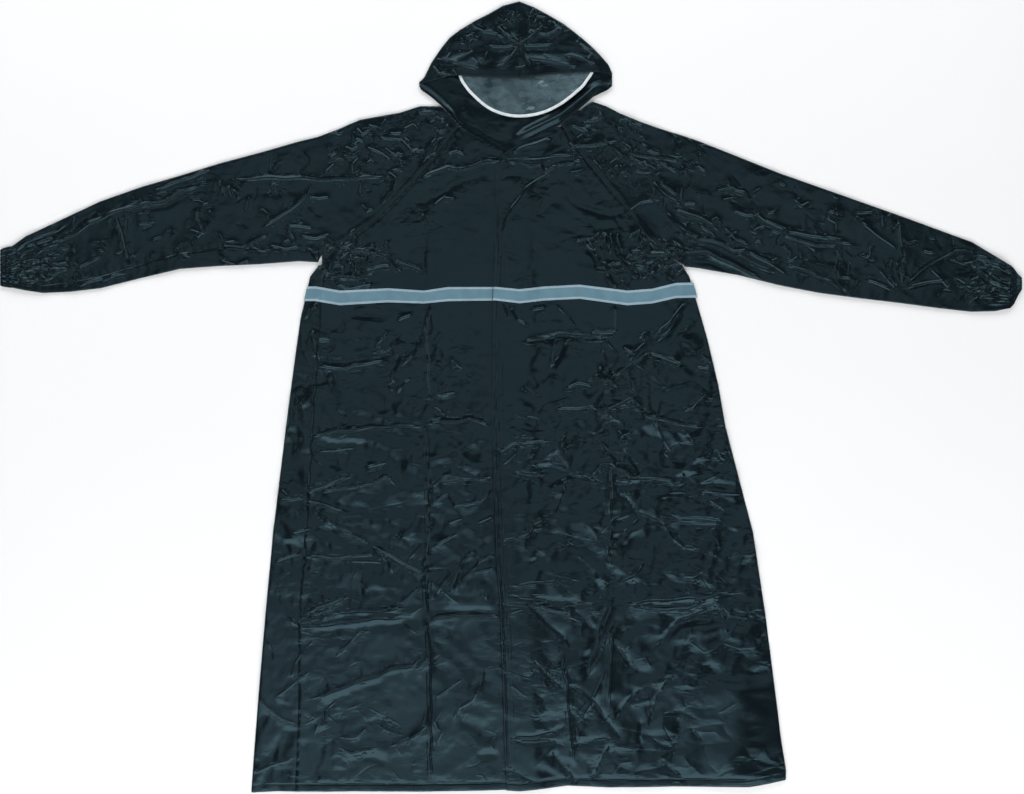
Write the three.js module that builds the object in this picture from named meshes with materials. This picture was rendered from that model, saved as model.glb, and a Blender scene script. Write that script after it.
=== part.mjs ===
// A long hooded raincoat of coated cloth, laid out flat on its back.
// Millimetres. +X runs to the wearer's left, +Y towards the hood and +Z up, off the surface that it lies on.
// The origin is the middle of its outline, on that surface.
import * as THREE from 'three';

// Cloth, seams and layers
const WALL = 1.4;              // cloth wall, with its coating and the play of the weave
const SEAM = 0.3;              // clear gap between two pieces where they are sewn
const FLOOR_MID = WALL / 2;    // middle of the wall that lies on the surface
const TOP_MID = 4.4;           // middle of the upper layer's wall where it has no fold
const FLY_LIFT = 4.2;          // how far the fly front lies above the under front
const LOWEST_TROUGH = -1;      // how far a fold may dip below TOP_MID
const HIGHEST_RIDGE = 7;       // and how far it may stand above it
const FOLD_CELLS = 3;          // facets round a folded edge
const FOLD_DEPTH = 3;          // how far a soft folded edge reaches in before the layers lie flat
const EDGE_SHARE = 0.3;        // share of a crease's rise that is left at a folded edge
const NEAR_EDGE = 6;           // the rise at a sleeve's folded edge is taken this far in

// Fly front and its hidden snap fasteners
const UNDERLAP = 46;           // how far the under front reaches below the fly
const LAP_STOPS = [0, 0.22, 0.48, 0.74, 1];
const LAP_SHARE = 0.2;         // share of a crease's rise that is left on the two snapped layers
const LAP_EASE = 30;           // the creases come back over this length beside them
const FLY_EASE = 40;           // length over which the fly's lift dies away
const SNAP_INSET = 24;         // from the fly's folded edge to the snaps' centres
const SNAP_RADIUS = 7.5;
const SNAP_BEVEL = 0.5;
const SNAP_THICKNESS = 1.6;
const SNAP_COUNT = 6;
const SNAP_SIDES = 12;
const SNAP_TOP_Y = 369;
const SNAP_PITCH = 167;

// Reflective tape
const TAPE_WALL = 1;
const TAPE_OFF = WALL / 2 + SEAM;          // from the cloth's middle to the tape's near face
const TAPE_DEPTH = TAPE_WALL + SEAM;       // how far the back is raised where the tape lies under it

// Hood
const HOOD_SEAM_X = 14;        // centre seam of the hood
const HOOD_GAP = 0.6;          // gap in plan between the hood and the neck edges
const BRIM_RISE = 4.2;         // the brim lies this far above the crown's upper layer
const BRIM_FLAT = 14;          // as far up the crown as the visor is tucked in below it
const BRIM_REACH = 30;         // length over which the brim's rise then dies away
const BRIM_LEFT = { x: -130, ease: 36 };   // the brim starts to rise here, and over this length
const BRIM_RIGHT = { x: 172, ease: 26 };
const CROWN_EASE = 25;         // the hood's creases die away this near to the crown's fold
const OVER_COAT = 1.9;         // the hood's back lies this much higher where the coat's back is below it
const OVER_COAT_Y = 470;       // and comes down from there over the next length
const OVER_COAT_EASE = 30;
const NECK_EASE = 20;          // from the neck edge to where the hood's back has come down
const CREST_HEIGHT = 8.5;      // hood's standing edge on the fly's side
const CREST_IN = 16;           // from the neck edge to the crest
const CREST_WIDTH = 9;
const CREST_LEFT = { x: -5, ease: 35 };
const CREST_RIGHT = { x: 172, ease: 60 };
const VISOR_MID = 6;
const VISOR_WALL = 1;
const VISOR_TUCK = 12;         // sewn in under the brim
const BINDING_WIDTH = 7;
const BINDING_WALL = 0.6;
const BINDING_INNER = 1.4;     // clear height inside the binding

// Elastic cuffs
const CUFF_TIP = 869;
const CUFF_SHARE = 20;         // length of the casing
const CUFF_GATHERS = 9;        // on each face
const CUFF_TALL = 2.1;         // half the height between the casing's two layers
const CUFF_PUFF = 0.9;         // the upper one is blown up by this much more
const CUFF_WAVE = 0.55;        // height of a gather's wave
const CUFF_UNDER_WAVE = 0.3;   // share of it on the side that lies on the surface
const CUFF_SQUARENESS = 0.35;  // 1 is an oval section, 0 a square one
const GATHER_REACH = 110;      // how far the gathers run up the sleeve
const GATHER_HEIGHT = 1.5;

// Rows of a short table become objects with named columns.
const table = (names, rows) => rows.map((row) => Object.fromEntries(names.map((name, i) => [name, row[i]])));

const mix = (a, b, t) => a + (b - a) * t;
const clamp01 = (t) => Math.min(1, Math.max(0, t));
const smooth = (t) => clamp01(t) ** 2 * (3 - 2 * clamp01(t));

// Straight-line lookup in a table whose key column rises.
function lookup(rows, key, name, value) {
  const last = rows.length - 1;
  if (value <= rows[0][key]) return rows[0][name];
  if (value >= rows[last][key]) return rows[last][name];
  const i = rows.findIndex((row) => row[key] >= value);
  const share = (value - rows[i - 1][key]) / (rows[i][key] - rows[i - 1][key]);
  return mix(rows[i - 1][name], rows[i][name], share);
}

// Outline and seams of the body from hem to armpit. seam is where the back, turned over the left edge,
// meets the left front; turn is how far the fly front wraps under at the right edge.
const BODY = table(['y', 'left', 'seam', 'right', 'turn'], [
  [-673, -442, -367, 468, 62],
  [-655, -441, -367, 468, 62],
  [-535, -432, -362, 454, 60],
  [-370, -418, -362, 433, 58],
  [-230, -405, -351, 412, 55],
  [-50, -383, -340, 365, 50],
  [20, -374, -335, 353, 48],
  [100, -363, -330, 334, 44],
  [135, -358, -327, 324, 42],
  [172, -349, -325, 313, 38],
  [205, -342, -323, 303.5, 32],
  [224, -327, -321, 291, 22],
]);

// Raglan seams above the armpit, the same on the front and on the back.
const RAGLAN = table(['y', 'left', 'right'], [
  [224, -321, 288],
  [243, -321.5, 264],
  [272, -268, 230],
  [304, -224, 206],
  [336, -191, 182],
  [368, -161, 154],
  [400, -135, 127],
  [418, -121, 113],
  [436, -106, 101],
  [459, -89, 85.5],
]);

// Folded edge of the fly front.
const FLY = table(['y', 'x'], [
  [-668, -7.7],
  [-583, -11.9],
  [-498, -13.6],
  [-413, -17],
  [-345, -19.6],
  [-301, -23.8],
  [-260, -25.5],
  [-133, -29.8],
  [-48, -31.5],
  [165, -31.3],
  [250, -27.7],
  [369, -25.5],
  [403, -23.8],
]);

// Line of the hem, which runs a little higher on the fly's side.
const HEM = table(['x', 'y'], [
  [-441, -673],
  [-400, -671],
  [-155, -671],
  [-63, -669.5],
  [-12, -668],
  [15, -670],
  [66, -665],
  [97, -661],
  [168, -664],
  [270, -662.5],
  [406, -663],
  [437, -658],
  [468, -651],
]);
const HEM_Y = HEM[0].y;
const HEM_REACH = 110;         // rows of cloth up to this far above it follow its line

// Neck edge, from the left shoulder down to the point of the V and up to the right shoulder.
const NECK = table(['x', 'y'], [
  [-158, 532],
  [-153, 522],
  [-136, 510],
  [-116, 493],
  [-88, 461],
  [-10, 416],
  [83, 462],
  [129, 500],
  [140, 510],
  [165, 522],
  [175, 531],
]);
const NECK_POINT = NECK.reduce((low, row) => (row.y < low.y ? row : low));

// Upper and lower edge of the reflective tape, as it wanders over the folds.
const TAPE = table(['x', 'top', 'bottom'], [
  [-400, 188, 163],
  [-332, 188, 163],
  [-291, 181, 156],
  [-209, 185, 161],
  [-148, 181, 159],
  [-107, 187, 163],
  [-26, 187, 164],
  [15, 183, 159],
  [56, 188, 164],
  [117, 191, 167],
  [198, 181, 156],
  [240, 184, 159],
  [280, 194, 168],
  [400, 197, 172],
]);

// Sleeves, measured outwards from the middle of the coat: upper edge, lower edge and underarm seam.
const SLEEVE_LEFT = table(['out', 'top', 'bottom', 'seam'], [
  [119, 495, 0, 0],
  [155, 495, 0, 0],
  [189, 484, 0, 0],
  [223, 478, 0, 0],
  [257, 472, 0, 0],
  [291, 457, 0, 0],
  [328, 443, 229, 247],
  [360, 435, 231, 250],
  [427, 416, 226, 252],
  [495, 398, 223, 254],
  [563, 377, 218, 246],
  [631, 357, 202, 226],
  [699, 333, 185, 206],
  [750, 309, 179, 196],
  [797, 287, 177, 190],
  [825, 274, 181, 192],
  [849, 257, 186, 195],
]);
const SLEEVE_RIGHT = table(['out', 'top', 'bottom', 'seam'], [
  [119, 489, 0, 0],
  [127, 496, 0, 0],
  [138, 503, 0, 0],
  [162, 495, 0, 0],
  [185, 483, 0, 0],
  [219, 469, 0, 0],
  [253, 457, 0, 0],
  [295, 444, 222, 238],
  [321, 435, 219, 236],
  [389, 408, 207, 226],
  [457, 381, 190, 211],
  [525, 357, 177, 198],
  [593, 333, 168, 189],
  [661, 309, 160, 181],
  [729, 284, 151, 170],
  [784, 264, 145, 162],
  [824, 240, 146, 158],
  [849, 225, 151, 161],
]);
const TUBE_STATIONS = [360, 395, 430, 465, 500, 537, 575, 612, 648, 684, 717, 748, 776, 802, 826, 849];

// Elastic casing at each sleeve end: its outline from where it meets the sleeve to its mouth.
const CUFF_LEFT = table(['out', 'top', 'bottom'], [
  [849.5, 257, 185],
  [856, 256, 186],
  [863, 254, 187],
  [869, 251, 189],
]);
const CUFF_RIGHT = table(['out', 'top', 'bottom'], [
  [849.5, 225, 151],
  [856, 219, 158],
  [863, 209, 173],
  [869, 204, 182],
]);

// Hood, by distance along X: the brim's edge, the crown's fold and the middle height of the crown's cloth.
const HOOD = table(['x', 'brim', 'crown', 'height'], [
  [-156, 532, 536, 3.2],
  [-148, 535, 543, 3.4],
  [-136, 538, 568, 3.6],
  [-120, 542, 592, 4],
  [-104, 545, 612, 4.2],
  [-88, 546, 624, 4.4],
  [-62, 544, 640, 4.6],
  [-38, 543, 652, 4.6],
  [-14, 542, 666, 4.8],
  [14, 542, 673.4, 5],
  [40, 544, 663, 4.8],
  [64, 548, 650, 4.6],
  [88, 550, 636, 4.6],
  [108, 551, 621, 4.4],
  [124, 552, 608, 4.2],
  [140, 552, 594, 4],
  [154, 552, 579, 3.8],
  [166, 550, 565, 3.6],
  [172, 543, 551, 3.2],
]);

// Free edge of the clear visor that hangs from the brim.
const VISOR = table(['x', 'y'], [
  [-89, 546],
  [-83, 533],
  [-66, 512],
  [-36, 488],
  [2, 476],
  [45, 479],
  [83, 495],
  [119, 523],
  [132, 539],
  [140, 551],
]);

// The largest folds. Each runs straight between two points; width is its half width, height its rise,
// and a minus height is a trough.
const FOLDS = table(['x0', 'y0', 'x1', 'y1', 'width', 'height'], [
  // packing creases down and across the fronts
  [-141, 369, -138, -673, 15, 2.2],
  [172, 70, 176, -673, 15, 2.4],
  [-383, -52, -24, -46, 20, 3],
  [-8, -52, 151, -66, 20, 2.4],
  [151, -66, 365, -52, 20, 3],
  [-418, -380, -146, -368, 20, 3.6],
  [-146, -368, -24, -366, 20, 2.6],
  [-10, -348, 151, -360, 22, 3.2],
  [176, -358, 433, -344, 22, 3.4],
  // chest and shoulders
  [-150, 372, -19, 398, 22, 3.4],
  [0, 398, 58, 384, 20, 3.2],
  [58, 384, 130, 398, 20, 2.6],
  [140, 390, 58, 372, 18, 2.2],
  [50, 360, 4, 290, 18, 2.6],
  [83, 340, 150, 312, 20, 2.4],
  [150, 312, 236, 320, 20, 2.2],
  [-142, 292, -146, 196, 18, 2.4],
  // crumpled cloth below the armpits
  [-318, 238, -262, 214, 16, 4.4],
  [-296, 262, -248, 200, 16, 3.2],
  [-250, 262, -232, 216, 14, 2.4],
  [136, 268, 206, 220, 18, 5],
  [150, 236, 232, 252, 16, 3.4],
  [214, 262, 268, 222, 16, 4],
  [250, 300, 226, 262, 16, 2.6],
  // waist and skirt
  [36, 100, 151, 106, 18, 2.8],
  [151, 106, 286, 98, 18, 2.6],
  [176, -14, 114, -96, 20, 3.8],
  [126, -70, 200, -128, 20, 3],
  [-4, -128, 92, -134, 18, 2.4],
  [200, -126, 396, -148, 18, 2.8],
  [-264, -226, -130, -322, 22, 3],
  [-140, -346, -270, -500, 22, 2.8],
  [160, -268, 172, -345, 20, 4],
  [168, -352, 134, -498, 22, 4.4],
  [224, -284, 172, -338, 20, 3.4],
  [112, -270, 152, -340, 20, 3],
  [-330, -560, -190, -600, 22, 2.6],
  [-60, -520, -110, -640, 20, 2.4],
  [60, -470, 30, -620, 20, 2.6],
  [250, -430, 380, -560, 24, 2.8],
  [220, -560, 330, -640, 22, 2.6],
  // left sleeve
  [-675, 311, -646, 222, 16, 2.6],
  [-812, 262, -690, 309, 16, 2.8],
  [-690, 309, -560, 344, 16, 2.2],
  [-520, 360, -400, 300, 20, 2.2],
  [-235, 452, -255, 362, 18, 3],
  [-176, 470, -210, 404, 16, 3],
  [-330, 400, -300, 320, 18, 2.6],
  [-420, 260, -300, 292, 18, 2.4],
  // right sleeve
  [556, 330, 560, 200, 16, 2.4],
  [664, 300, 668, 180, 16, 2.4],
  [676, 188, 729, 226, 16, 3],
  [729, 226, 826, 226, 16, 3],
  [150, 470, 196, 404, 18, 3.2],
  [214, 448, 300, 372, 20, 3],
  [290, 420, 280, 300, 18, 2.8],
  [330, 360, 470, 300, 20, 2.4],
  [300, 250, 420, 262, 18, 2.4],
  [480, 330, 540, 250, 18, 2],
]);

// Folds of the hood's upper layer.
const HOOD_FOLDS = table(['x0', 'y0', 'x1', 'y1', 'width', 'height'], [
  [14, 668, 14, 600, 12, 2.2],
  [14, 620, -60, 590, 12, 2.4],
  [8, 606, -40, 560, 12, 2],
  [20, 618, 70, 640, 12, 2.2],
  [24, 604, 60, 566, 12, 2],
  [24, 600, 130, 574, 10, 1.8],
  [-118, 580, -50, 562, 12, 2],
  [-90, 606, -30, 636, 12, 1.8],
]);

function foldRise(folds, x, y) {
  return folds.reduce((sum, fold) => {
    const dx = fold.x1 - fold.x0;
    const dy = fold.y1 - fold.y0;
    const along = ((x - fold.x0) * dx + (y - fold.y0) * dy) / (dx * dx + dy * dy);
    const near = clamp01(along);
    const off = Math.hypot(x - fold.x0 - near * dx, y - fold.y0 - near * dy);
    return sum + fold.height * Math.exp(-((off / fold.width) ** 2));
  }, 0);
}

// Two long, low waves that the whole upper layer has.
const SWELLS = table(['height', 'alongX', 'alongY'], [
  [0.5, 41, 67],
  [0.4, -89, 53],
]);

// Rise of the body's and sleeves' upper layer, quieter over the fly where two layers are snapped together.
function rise(x, y) {
  const fromFly = Math.abs(x - lookup(FLY, 'y', 'x', y) - UNDERLAP / 2);
  const quiet = y > NECK_POINT.y ? 1 : mix(LAP_SHARE, 1, smooth((fromFly - UNDERLAP / 2) / LAP_EASE));
  const waves = SWELLS.map((wave) => wave.height * Math.sin(x / wave.alongX + y / wave.alongY));
  const swell = waves.reduce((sum, height) => sum + height, 0);
  return Math.max(LOWEST_TROUGH, quiet * Math.min(HIGHEST_RIDGE, foldRise(FOLDS, x, y) + swell));
}

// Points of a folded edge, from its upper end round to its lower one. at is the outline, side is +1 or -1.
function foldedEdge(at, side, top, bottom) {
  const tall = (top - bottom) / 2;
  const deep = Math.min(tall, FOLD_DEPTH);
  const centre = at - side * (WALL / 2 + deep);
  return Array.from({ length: FOLD_CELLS + 1 }, (_, k) => {
    const turn = Math.PI / 2 - (k * Math.PI) / FOLD_CELLS;
    const normal = new THREE.Vector2((side * Math.cos(turn)) / deep, Math.sin(turn) / tall).normalize();
    const z = (top + bottom) / 2 + tall * Math.sin(turn);
    return { s: centre + side * deep * Math.cos(turn), z, normal };
  });
}

const FACE_UP = new THREE.Vector2(0, 1);
const FACE_DOWN = new THREE.Vector2(0, -1);

// Evenly spaced numbers from a to b, both included.
const spread = (a, b, cells) => Array.from({ length: cells + 1 }, (_, k) => mix(a, b, k / cells));

// Closes a grid of middle points and unit normals into a cloth wall. near and far are measured along the
// normals. Where keep says no, the cell is left open and its edge gets a rim. A ring joins its last column
// to its first.
function clothWall(grid, { near = -WALL / 2, far = WALL / 2, keep = () => true, ring = false } = {}) {
  const rows = grid.length - 1;
  const columns = ring ? grid[0].length : grid[0].length - 1;
  const wrap = (j) => (ring ? j % columns : j);
  const inGrid = (i, j) => i >= 0 && i < rows && (ring || (j >= 0 && j < columns));
  const present = (i, j) => inGrid(i, j) && keep(i, ring ? (j + columns) % columns : j);
  const points = [];
  const index = new Map();
  const corner = (i, j, off) => {
    const key = `${i},${wrap(j)},${off}`;
    if (!index.has(key)) {
      const { p, n } = grid[i][wrap(j)];
      index.set(key, points.length / 3);
      points.push(p.x + n.x * off, p.y + n.y * off, p.z + n.z * off);
    }
    return index.get(key);
  };
  const faces = [];
  const quad = (a, b, c, d) => faces.push(a, b, c, a, c, d);
  for (let i = 0; i < rows; i += 1) {
    for (let j = 0; j < columns; j += 1) {
      if (!present(i, j)) continue;
      const ends = [[i, j], [i + 1, j], [i + 1, j + 1], [i, j + 1]];
      const outer = ends.map(([a, b]) => corner(a, b, far));
      const inner = ends.map(([a, b]) => corner(a, b, near));
      quad(...outer);
      faces.push(inner[0], inner[2], inner[1], inner[0], inner[3], inner[2]);
      const beside = [present(i, j - 1), present(i + 1, j), present(i, j + 1), present(i - 1, j)];
      beside.forEach((filled, k) => {
        const next = (k + 1) % 4;
        if (!filled) quad(outer[next], outer[k], inner[k], inner[next]);
      });
    }
  }
  const geometry = new THREE.BufferGeometry();
  geometry.setAttribute('position', new THREE.Float32BufferAttribute(points, 3));
  geometry.setIndex(facingOut(points, faces));
  geometry.computeVertexNormals();
  return geometry;
}

// Turns every face over if the closed surface encloses a minus volume.
function facingOut(points, faces) {
  let volume = 0;
  const at = (k) => new THREE.Vector3(points[3 * k], points[3 * k + 1], points[3 * k + 2]);
  for (let k = 0; k < faces.length; k += 3) {
    volume += at(faces[k]).dot(at(faces[k + 1]).cross(at(faces[k + 2])));
  }
  if (volume > 0) return faces;
  const turned = [...faces];
  for (let k = 0; k < faces.length; k += 3) {
    turned[k + 1] = faces[k + 2];
    turned[k + 2] = faces[k + 1];
  }
  return turned;
}

// A section's points, whose s runs along X or along Y, become grid points.
const acrossX = (y, points) => points.map(({ s, z, normal, shift = 0 }) => ({
  p: new THREE.Vector3(s, y + shift, z),
  n: new THREE.Vector3(normal.x, 0, normal.y),
}));
const acrossY = (x, points) => points.map(({ s, z, normal }) => ({
  p: new THREE.Vector3(x, s, z),
  n: new THREE.Vector3(0, normal.x, normal.y),
}));

const raincoat = new THREE.Group();
raincoat.name = 'raincoat';

const FINISH = {
  cloth: { color: 0x27343c, roughness: 0.28, metalness: 0 },
  tape: { color: 0xb4c4cc, roughness: 0.38, metalness: 0.3 },
  visor: { color: 0x8fa3ab, roughness: 0.22, metalness: 0 },
  binding: { color: 0xdfe7ea, roughness: 0.6, metalness: 0 },
  metal: { color: 0x8d9296, roughness: 0.35, metalness: 0.9 },
};

function addPiece(name, geometry, finish) {
  const mesh = new THREE.Mesh(geometry, new THREE.MeshStandardMaterial(FINISH[finish]));
  mesh.name = name;
  raincoat.add(mesh);
}

// Body rows, from the hem up. The two rows named by the tape follow its edges. plain rows are shared by
// the back, which needs fewer.
const ROWS = table(['y', 'edge', 'plain'], [
  [-673, null, true],
  [-655, null, true],
  [-615, null, false],
  [-575, null, false],
  [-535, null, true],
  [-495, null, false],
  [-455, null, true],
  [-412, null, false],
  [-388, null, false],
  [-370, null, true],
  [-350, null, false],
  [-310, null, false],
  [-270, null, true],
  [-230, null, true],
  [-190, null, false],
  [-150, null, true],
  [-110, null, false],
  [-75, null, false],
  [-50, null, true],
  [-25, null, false],
  [20, null, true],
  [60, null, false],
  [100, null, true],
  [135, null, true],
  [160, 'bottom', true],
  [184, 'top', true],
  [205, null, true],
  [224, null, true],
  [243, null, true],
  [272, null, true],
  [304, null, true],
  [336, null, true],
  [368, null, true],
  [400, null, true],
  [418, null, true],
  [436, null, true],
  [459, null, true],
]);
const ARMPIT_Y = 224;
const TOP_OF_FLY = 400;

// How far a row's point leaves its straight line to follow the tape or the hem.
function rowShift(row, x) {
  if (row.edge) return lookup(TAPE, 'x', row.edge, x) - row.y;
  const hemShare = 1 - smooth((row.y - HEM_Y) / HEM_REACH);
  return hemShare * (lookup(HEM, 'x', 'y', x) - HEM_Y);
}

function bodySides(y) {
  const high = y > ARMPIT_Y;
  const neckLeft = lookup(NECK.filter((row) => row.x <= NECK_POINT.x).reverse(), 'y', 'x', y);
  const neckRight = lookup(NECK.filter((row) => row.x >= NECK_POINT.x), 'y', 'x', y);
  const fly = lookup(FLY, 'y', 'x', y);
  return {
    left: high ? lookup(RAGLAN, 'y', 'left', y) : lookup(BODY, 'y', 'seam', y),
    right: high ? lookup(RAGLAN, 'y', 'right', y) : lookup(BODY, 'y', 'right', y),
    underEnd: y > TOP_OF_FLY ? neckLeft - SEAM : fly,
    flyStart: y > TOP_OF_FLY ? neckRight + SEAM : fly,
  };
}

// Upper-layer points of a front along one row.
const topPoint = (row, s, lift) => {
  const shift = rowShift(row, s);
  return { s, z: TOP_MID + rise(s, row.y + shift) + lift, normal: FACE_UP, shift };
};

const LEFT_CELLS = { outer: 8, inner: 5, lap: LAP_STOPS.length - 1 };
const LEFT_CREASE_X = -141;

// Left front: from the side seam or raglan seam to the fly's edge, then on below the fly.
function leftFrontRow(row) {
  const { left, underEnd } = bodySides(row.y);
  const start = left + SEAM / 2;
  const crease = Math.max(LEFT_CREASE_X, mix(start, underEnd, 0.5));
  const outer = spread(start, crease, LEFT_CELLS.outer).slice(0, -1);
  const inner = spread(crease, underEnd, LEFT_CELLS.inner);
  const lap = LAP_STOPS.slice(1).map((stop) => underEnd + UNDERLAP * stop);
  return acrossX(row.y, [...outer, ...inner, ...lap].map((s) => topPoint(row, s, 0)));
}

const RIGHT_CELLS = { lap: LAP_STOPS.length - 1, inner: 5, outer: 7, fold: FOLD_CELLS, under: 2 };
const RIGHT_TOP_CELLS = RIGHT_CELLS.lap + RIGHT_CELLS.inner + RIGHT_CELLS.outer;
const RIGHT_CREASE_X = 172;

// Right front: the fly's edge, across to the right edge, round it and under as far as the side seam.
function rightFrontRow(row) {
  const { flyStart, right } = bodySides(row.y);
  const wraps = row.y <= ARMPIT_Y;
  const edgeTop = TOP_MID + EDGE_SHARE * rise(right, row.y + rowShift(row, right));
  const edge = foldedEdge(right, 1, edgeTop, FLOOR_MID + rowRaise(row));
  const end = wraps ? edge[0].s : right - SEAM / 2;
  const lapWidth = Math.min(UNDERLAP, 0.5 * (end - flyStart));
  const lapEnd = flyStart + lapWidth;
  const crease = Math.min(RIGHT_CREASE_X, mix(lapEnd, end, 0.5));
  const lap = LAP_STOPS.slice(0, -1).map((stop) => flyStart + lapWidth * stop);
  const inner = spread(lapEnd, crease, RIGHT_CELLS.inner).slice(0, -1);
  const outer = spread(crease, end, RIGHT_CELLS.outer);
  const flyLift = (s) => FLY_LIFT * (1 - smooth((s - lapEnd) / FLY_EASE));
  const top = [...lap, ...inner, ...outer].map((s) => topPoint(row, s, flyLift(s)));
  if (wraps) top[top.length - 1].z = edge[0].z;
  const turned = edge.slice(1).map((point) => ({ ...point, shift: rowShift(row, right) }));
  const seamX = right - lookup(BODY, 'y', 'turn', Math.min(row.y, ARMPIT_Y)) + SEAM / 2;
  const under = spread(edge[FOLD_CELLS].s, seamX, RIGHT_CELLS.under).slice(1).map((s) => floorPoint(row, s));
  return acrossX(row.y, [...top, ...turned, ...under]);
}

// The back is raised by the tape's depth where the tape lies between it and the surface.
const rowRaise = (row) => (row.edge ? TAPE_DEPTH : 0);

function floorPoint(row, s) {
  return { s, z: FLOOR_MID + rowRaise(row), normal: FACE_DOWN, shift: rowShift(row, s) };
}

const BACK_CELLS = { floor: 12, fold: FOLD_CELLS, over: 2 };

// Back: from the right side seam across the surface to the left edge, round it and over to the left seam.
function backRow(row) {
  const { left, right } = bodySides(row.y);
  const wraps = row.y <= ARMPIT_Y;
  const turn = lookup(BODY, 'y', 'turn', row.y);
  const outline = lookup(BODY, 'y', 'left', row.y);
  const edgeTop = TOP_MID + EDGE_SHARE * rise(outline, row.y);
  const edge = foldedEdge(outline, -1, edgeTop, FLOOR_MID + rowRaise(row)).reverse();
  const start = wraps ? right - turn - SEAM / 2 : right - SEAM / 2;
  const end = wraps ? edge[0].s : left + SEAM / 2;
  const floor = spread(start, end, BACK_CELLS.floor).map((s) => floorPoint(row, s));
  const turned = edge.slice(1).map((point) => ({ ...point, shift: rowShift(row, outline) }));
  const over = spread(edge[FOLD_CELLS].s, left - SEAM / 2, BACK_CELLS.over).slice(1);
  return acrossX(row.y, [...floor, ...turned, ...over.map((s) => topPoint(row, s, 0))]);
}

const plainRows = ROWS.filter((row) => row.plain);
const rowsBelow = (rows, y) => rows.filter((row) => row.y < y).length;

const leftGrid = ROWS.map(leftFrontRow);
const rightGrid = ROWS.map(rightFrontRow);
const backGrid = plainRows.map(backRow);
const leftMain = LEFT_CELLS.outer + LEFT_CELLS.inner;
addPiece('front_left', clothWall(leftGrid, {
  keep: (i, j) => j < leftMain || i < rowsBelow(ROWS, TOP_OF_FLY),
}), 'cloth');
addPiece('front_right', clothWall(rightGrid, {
  keep: (i, j) => j < RIGHT_TOP_CELLS || i < rowsBelow(ROWS, ARMPIT_Y),
}), 'cloth');
addPiece('back', clothWall(backGrid, {
  keep: (i, j) => j < BACK_CELLS.floor || i < rowsBelow(plainRows, ARMPIT_Y),
}), 'cloth');

// A tape lies on the two rows of a panel that follow its edges, moved out by the same amount all along.
function tapeOn(grid, rows, last = grid[0].length - 1) {
  const from = rows.findIndex((row) => row.edge === 'bottom');
  return grid.slice(from, from + 2).map((points) => points.slice(0, last + 1));
}
const tapeWall = { near: TAPE_OFF, far: TAPE_OFF + TAPE_WALL };
const leftTapeEnd = leftMain + 2;
addPiece('tape_front_left', clothWall(tapeOn(leftGrid, ROWS, leftTapeEnd), tapeWall), 'tape');
addPiece('tape_front_right', clothWall(tapeOn(rightGrid, ROWS), tapeWall), 'tape');
addPiece('tape_back', clothWall(tapeOn(backGrid, plainRows), tapeWall), 'tape');

// Snap fasteners, closed, between the under front and the fly.
for (let k = 0; k < SNAP_COUNT; k += 1) {
  const y = SNAP_TOP_Y - k * SNAP_PITCH;
  const x = lookup(FLY, 'y', 'x', y) + SNAP_INSET;
  const half = SNAP_THICKNESS / 2;
  const flat = SNAP_RADIUS - SNAP_BEVEL;
  const profile = [[0, -half], [flat, -half], [SNAP_RADIUS, 0], [flat, half], [0, half]];
  const disc = new THREE.LatheGeometry(profile.map(([r, h]) => new THREE.Vector2(r, h)), SNAP_SIDES);
  disc.rotateX(Math.PI / 2);
  disc.translate(x, y, TOP_MID + rise(x, y) + FLY_LIFT / 2);
  addPiece(`snap_${k + 1}`, disc, 'metal');
}

// Sleeves. A station is a section across the sleeve at one distance out from the middle. Raglan stations
// lie inside the armpit, where the sleeve is open below, and neck stations end at the neck edge.
const SLEEVE_CELLS = { top: 7, fold: FOLD_CELLS, floor: 3, wrap: 1 };
const SHOULDER_OUT = SLEEVE_LEFT[0].out;

function gatherRise(out, share) {
  const near = smooth(1 - (CUFF_TIP - CUFF_SHARE - out) / GATHER_REACH);
  return GATHER_HEIGHT * near * Math.cos(share * SLEEVE_CELLS.top * Math.PI);
}

function sleeveStations(side, outline) {
  const seamOf = side < 0 ? 'left' : 'right';
  const raglan = RAGLAN.slice(1).map((row) => ({ out: side * row[seamOf], seamY: row.y })).reverse();
  const first = outline.find((row) => row.bottom > 0).out;
  const tube = [first, ...TUBE_STATIONS].map((out) => ({ out, seamY: null }));
  return [...raglan, ...tube].map((station) => {
    const { out, seamY } = station;
    const atNeck = out < SHOULDER_OUT;
    const neckY = lookup(NECK, 'x', 'y', side * out) - HOOD_GAP;
    return {
      ...station,
      tube: seamY === null,
      atNeck,
      top: atNeck ? neckY : lookup(outline, 'out', 'top', out),
      bottom: lookup(outline, 'out', 'bottom', out),
      seam: lookup(outline, 'out', 'seam', out),
    };
  });
}

const sleeveTop = (x, y, share) => ({
  s: y,
  z: TOP_MID + rise(x, y) + gatherRise(Math.abs(x), share),
  normal: FACE_UP,
});
const sleeveFloor = (y) => ({ s: y, z: FLOOR_MID, normal: FACE_DOWN });

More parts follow.
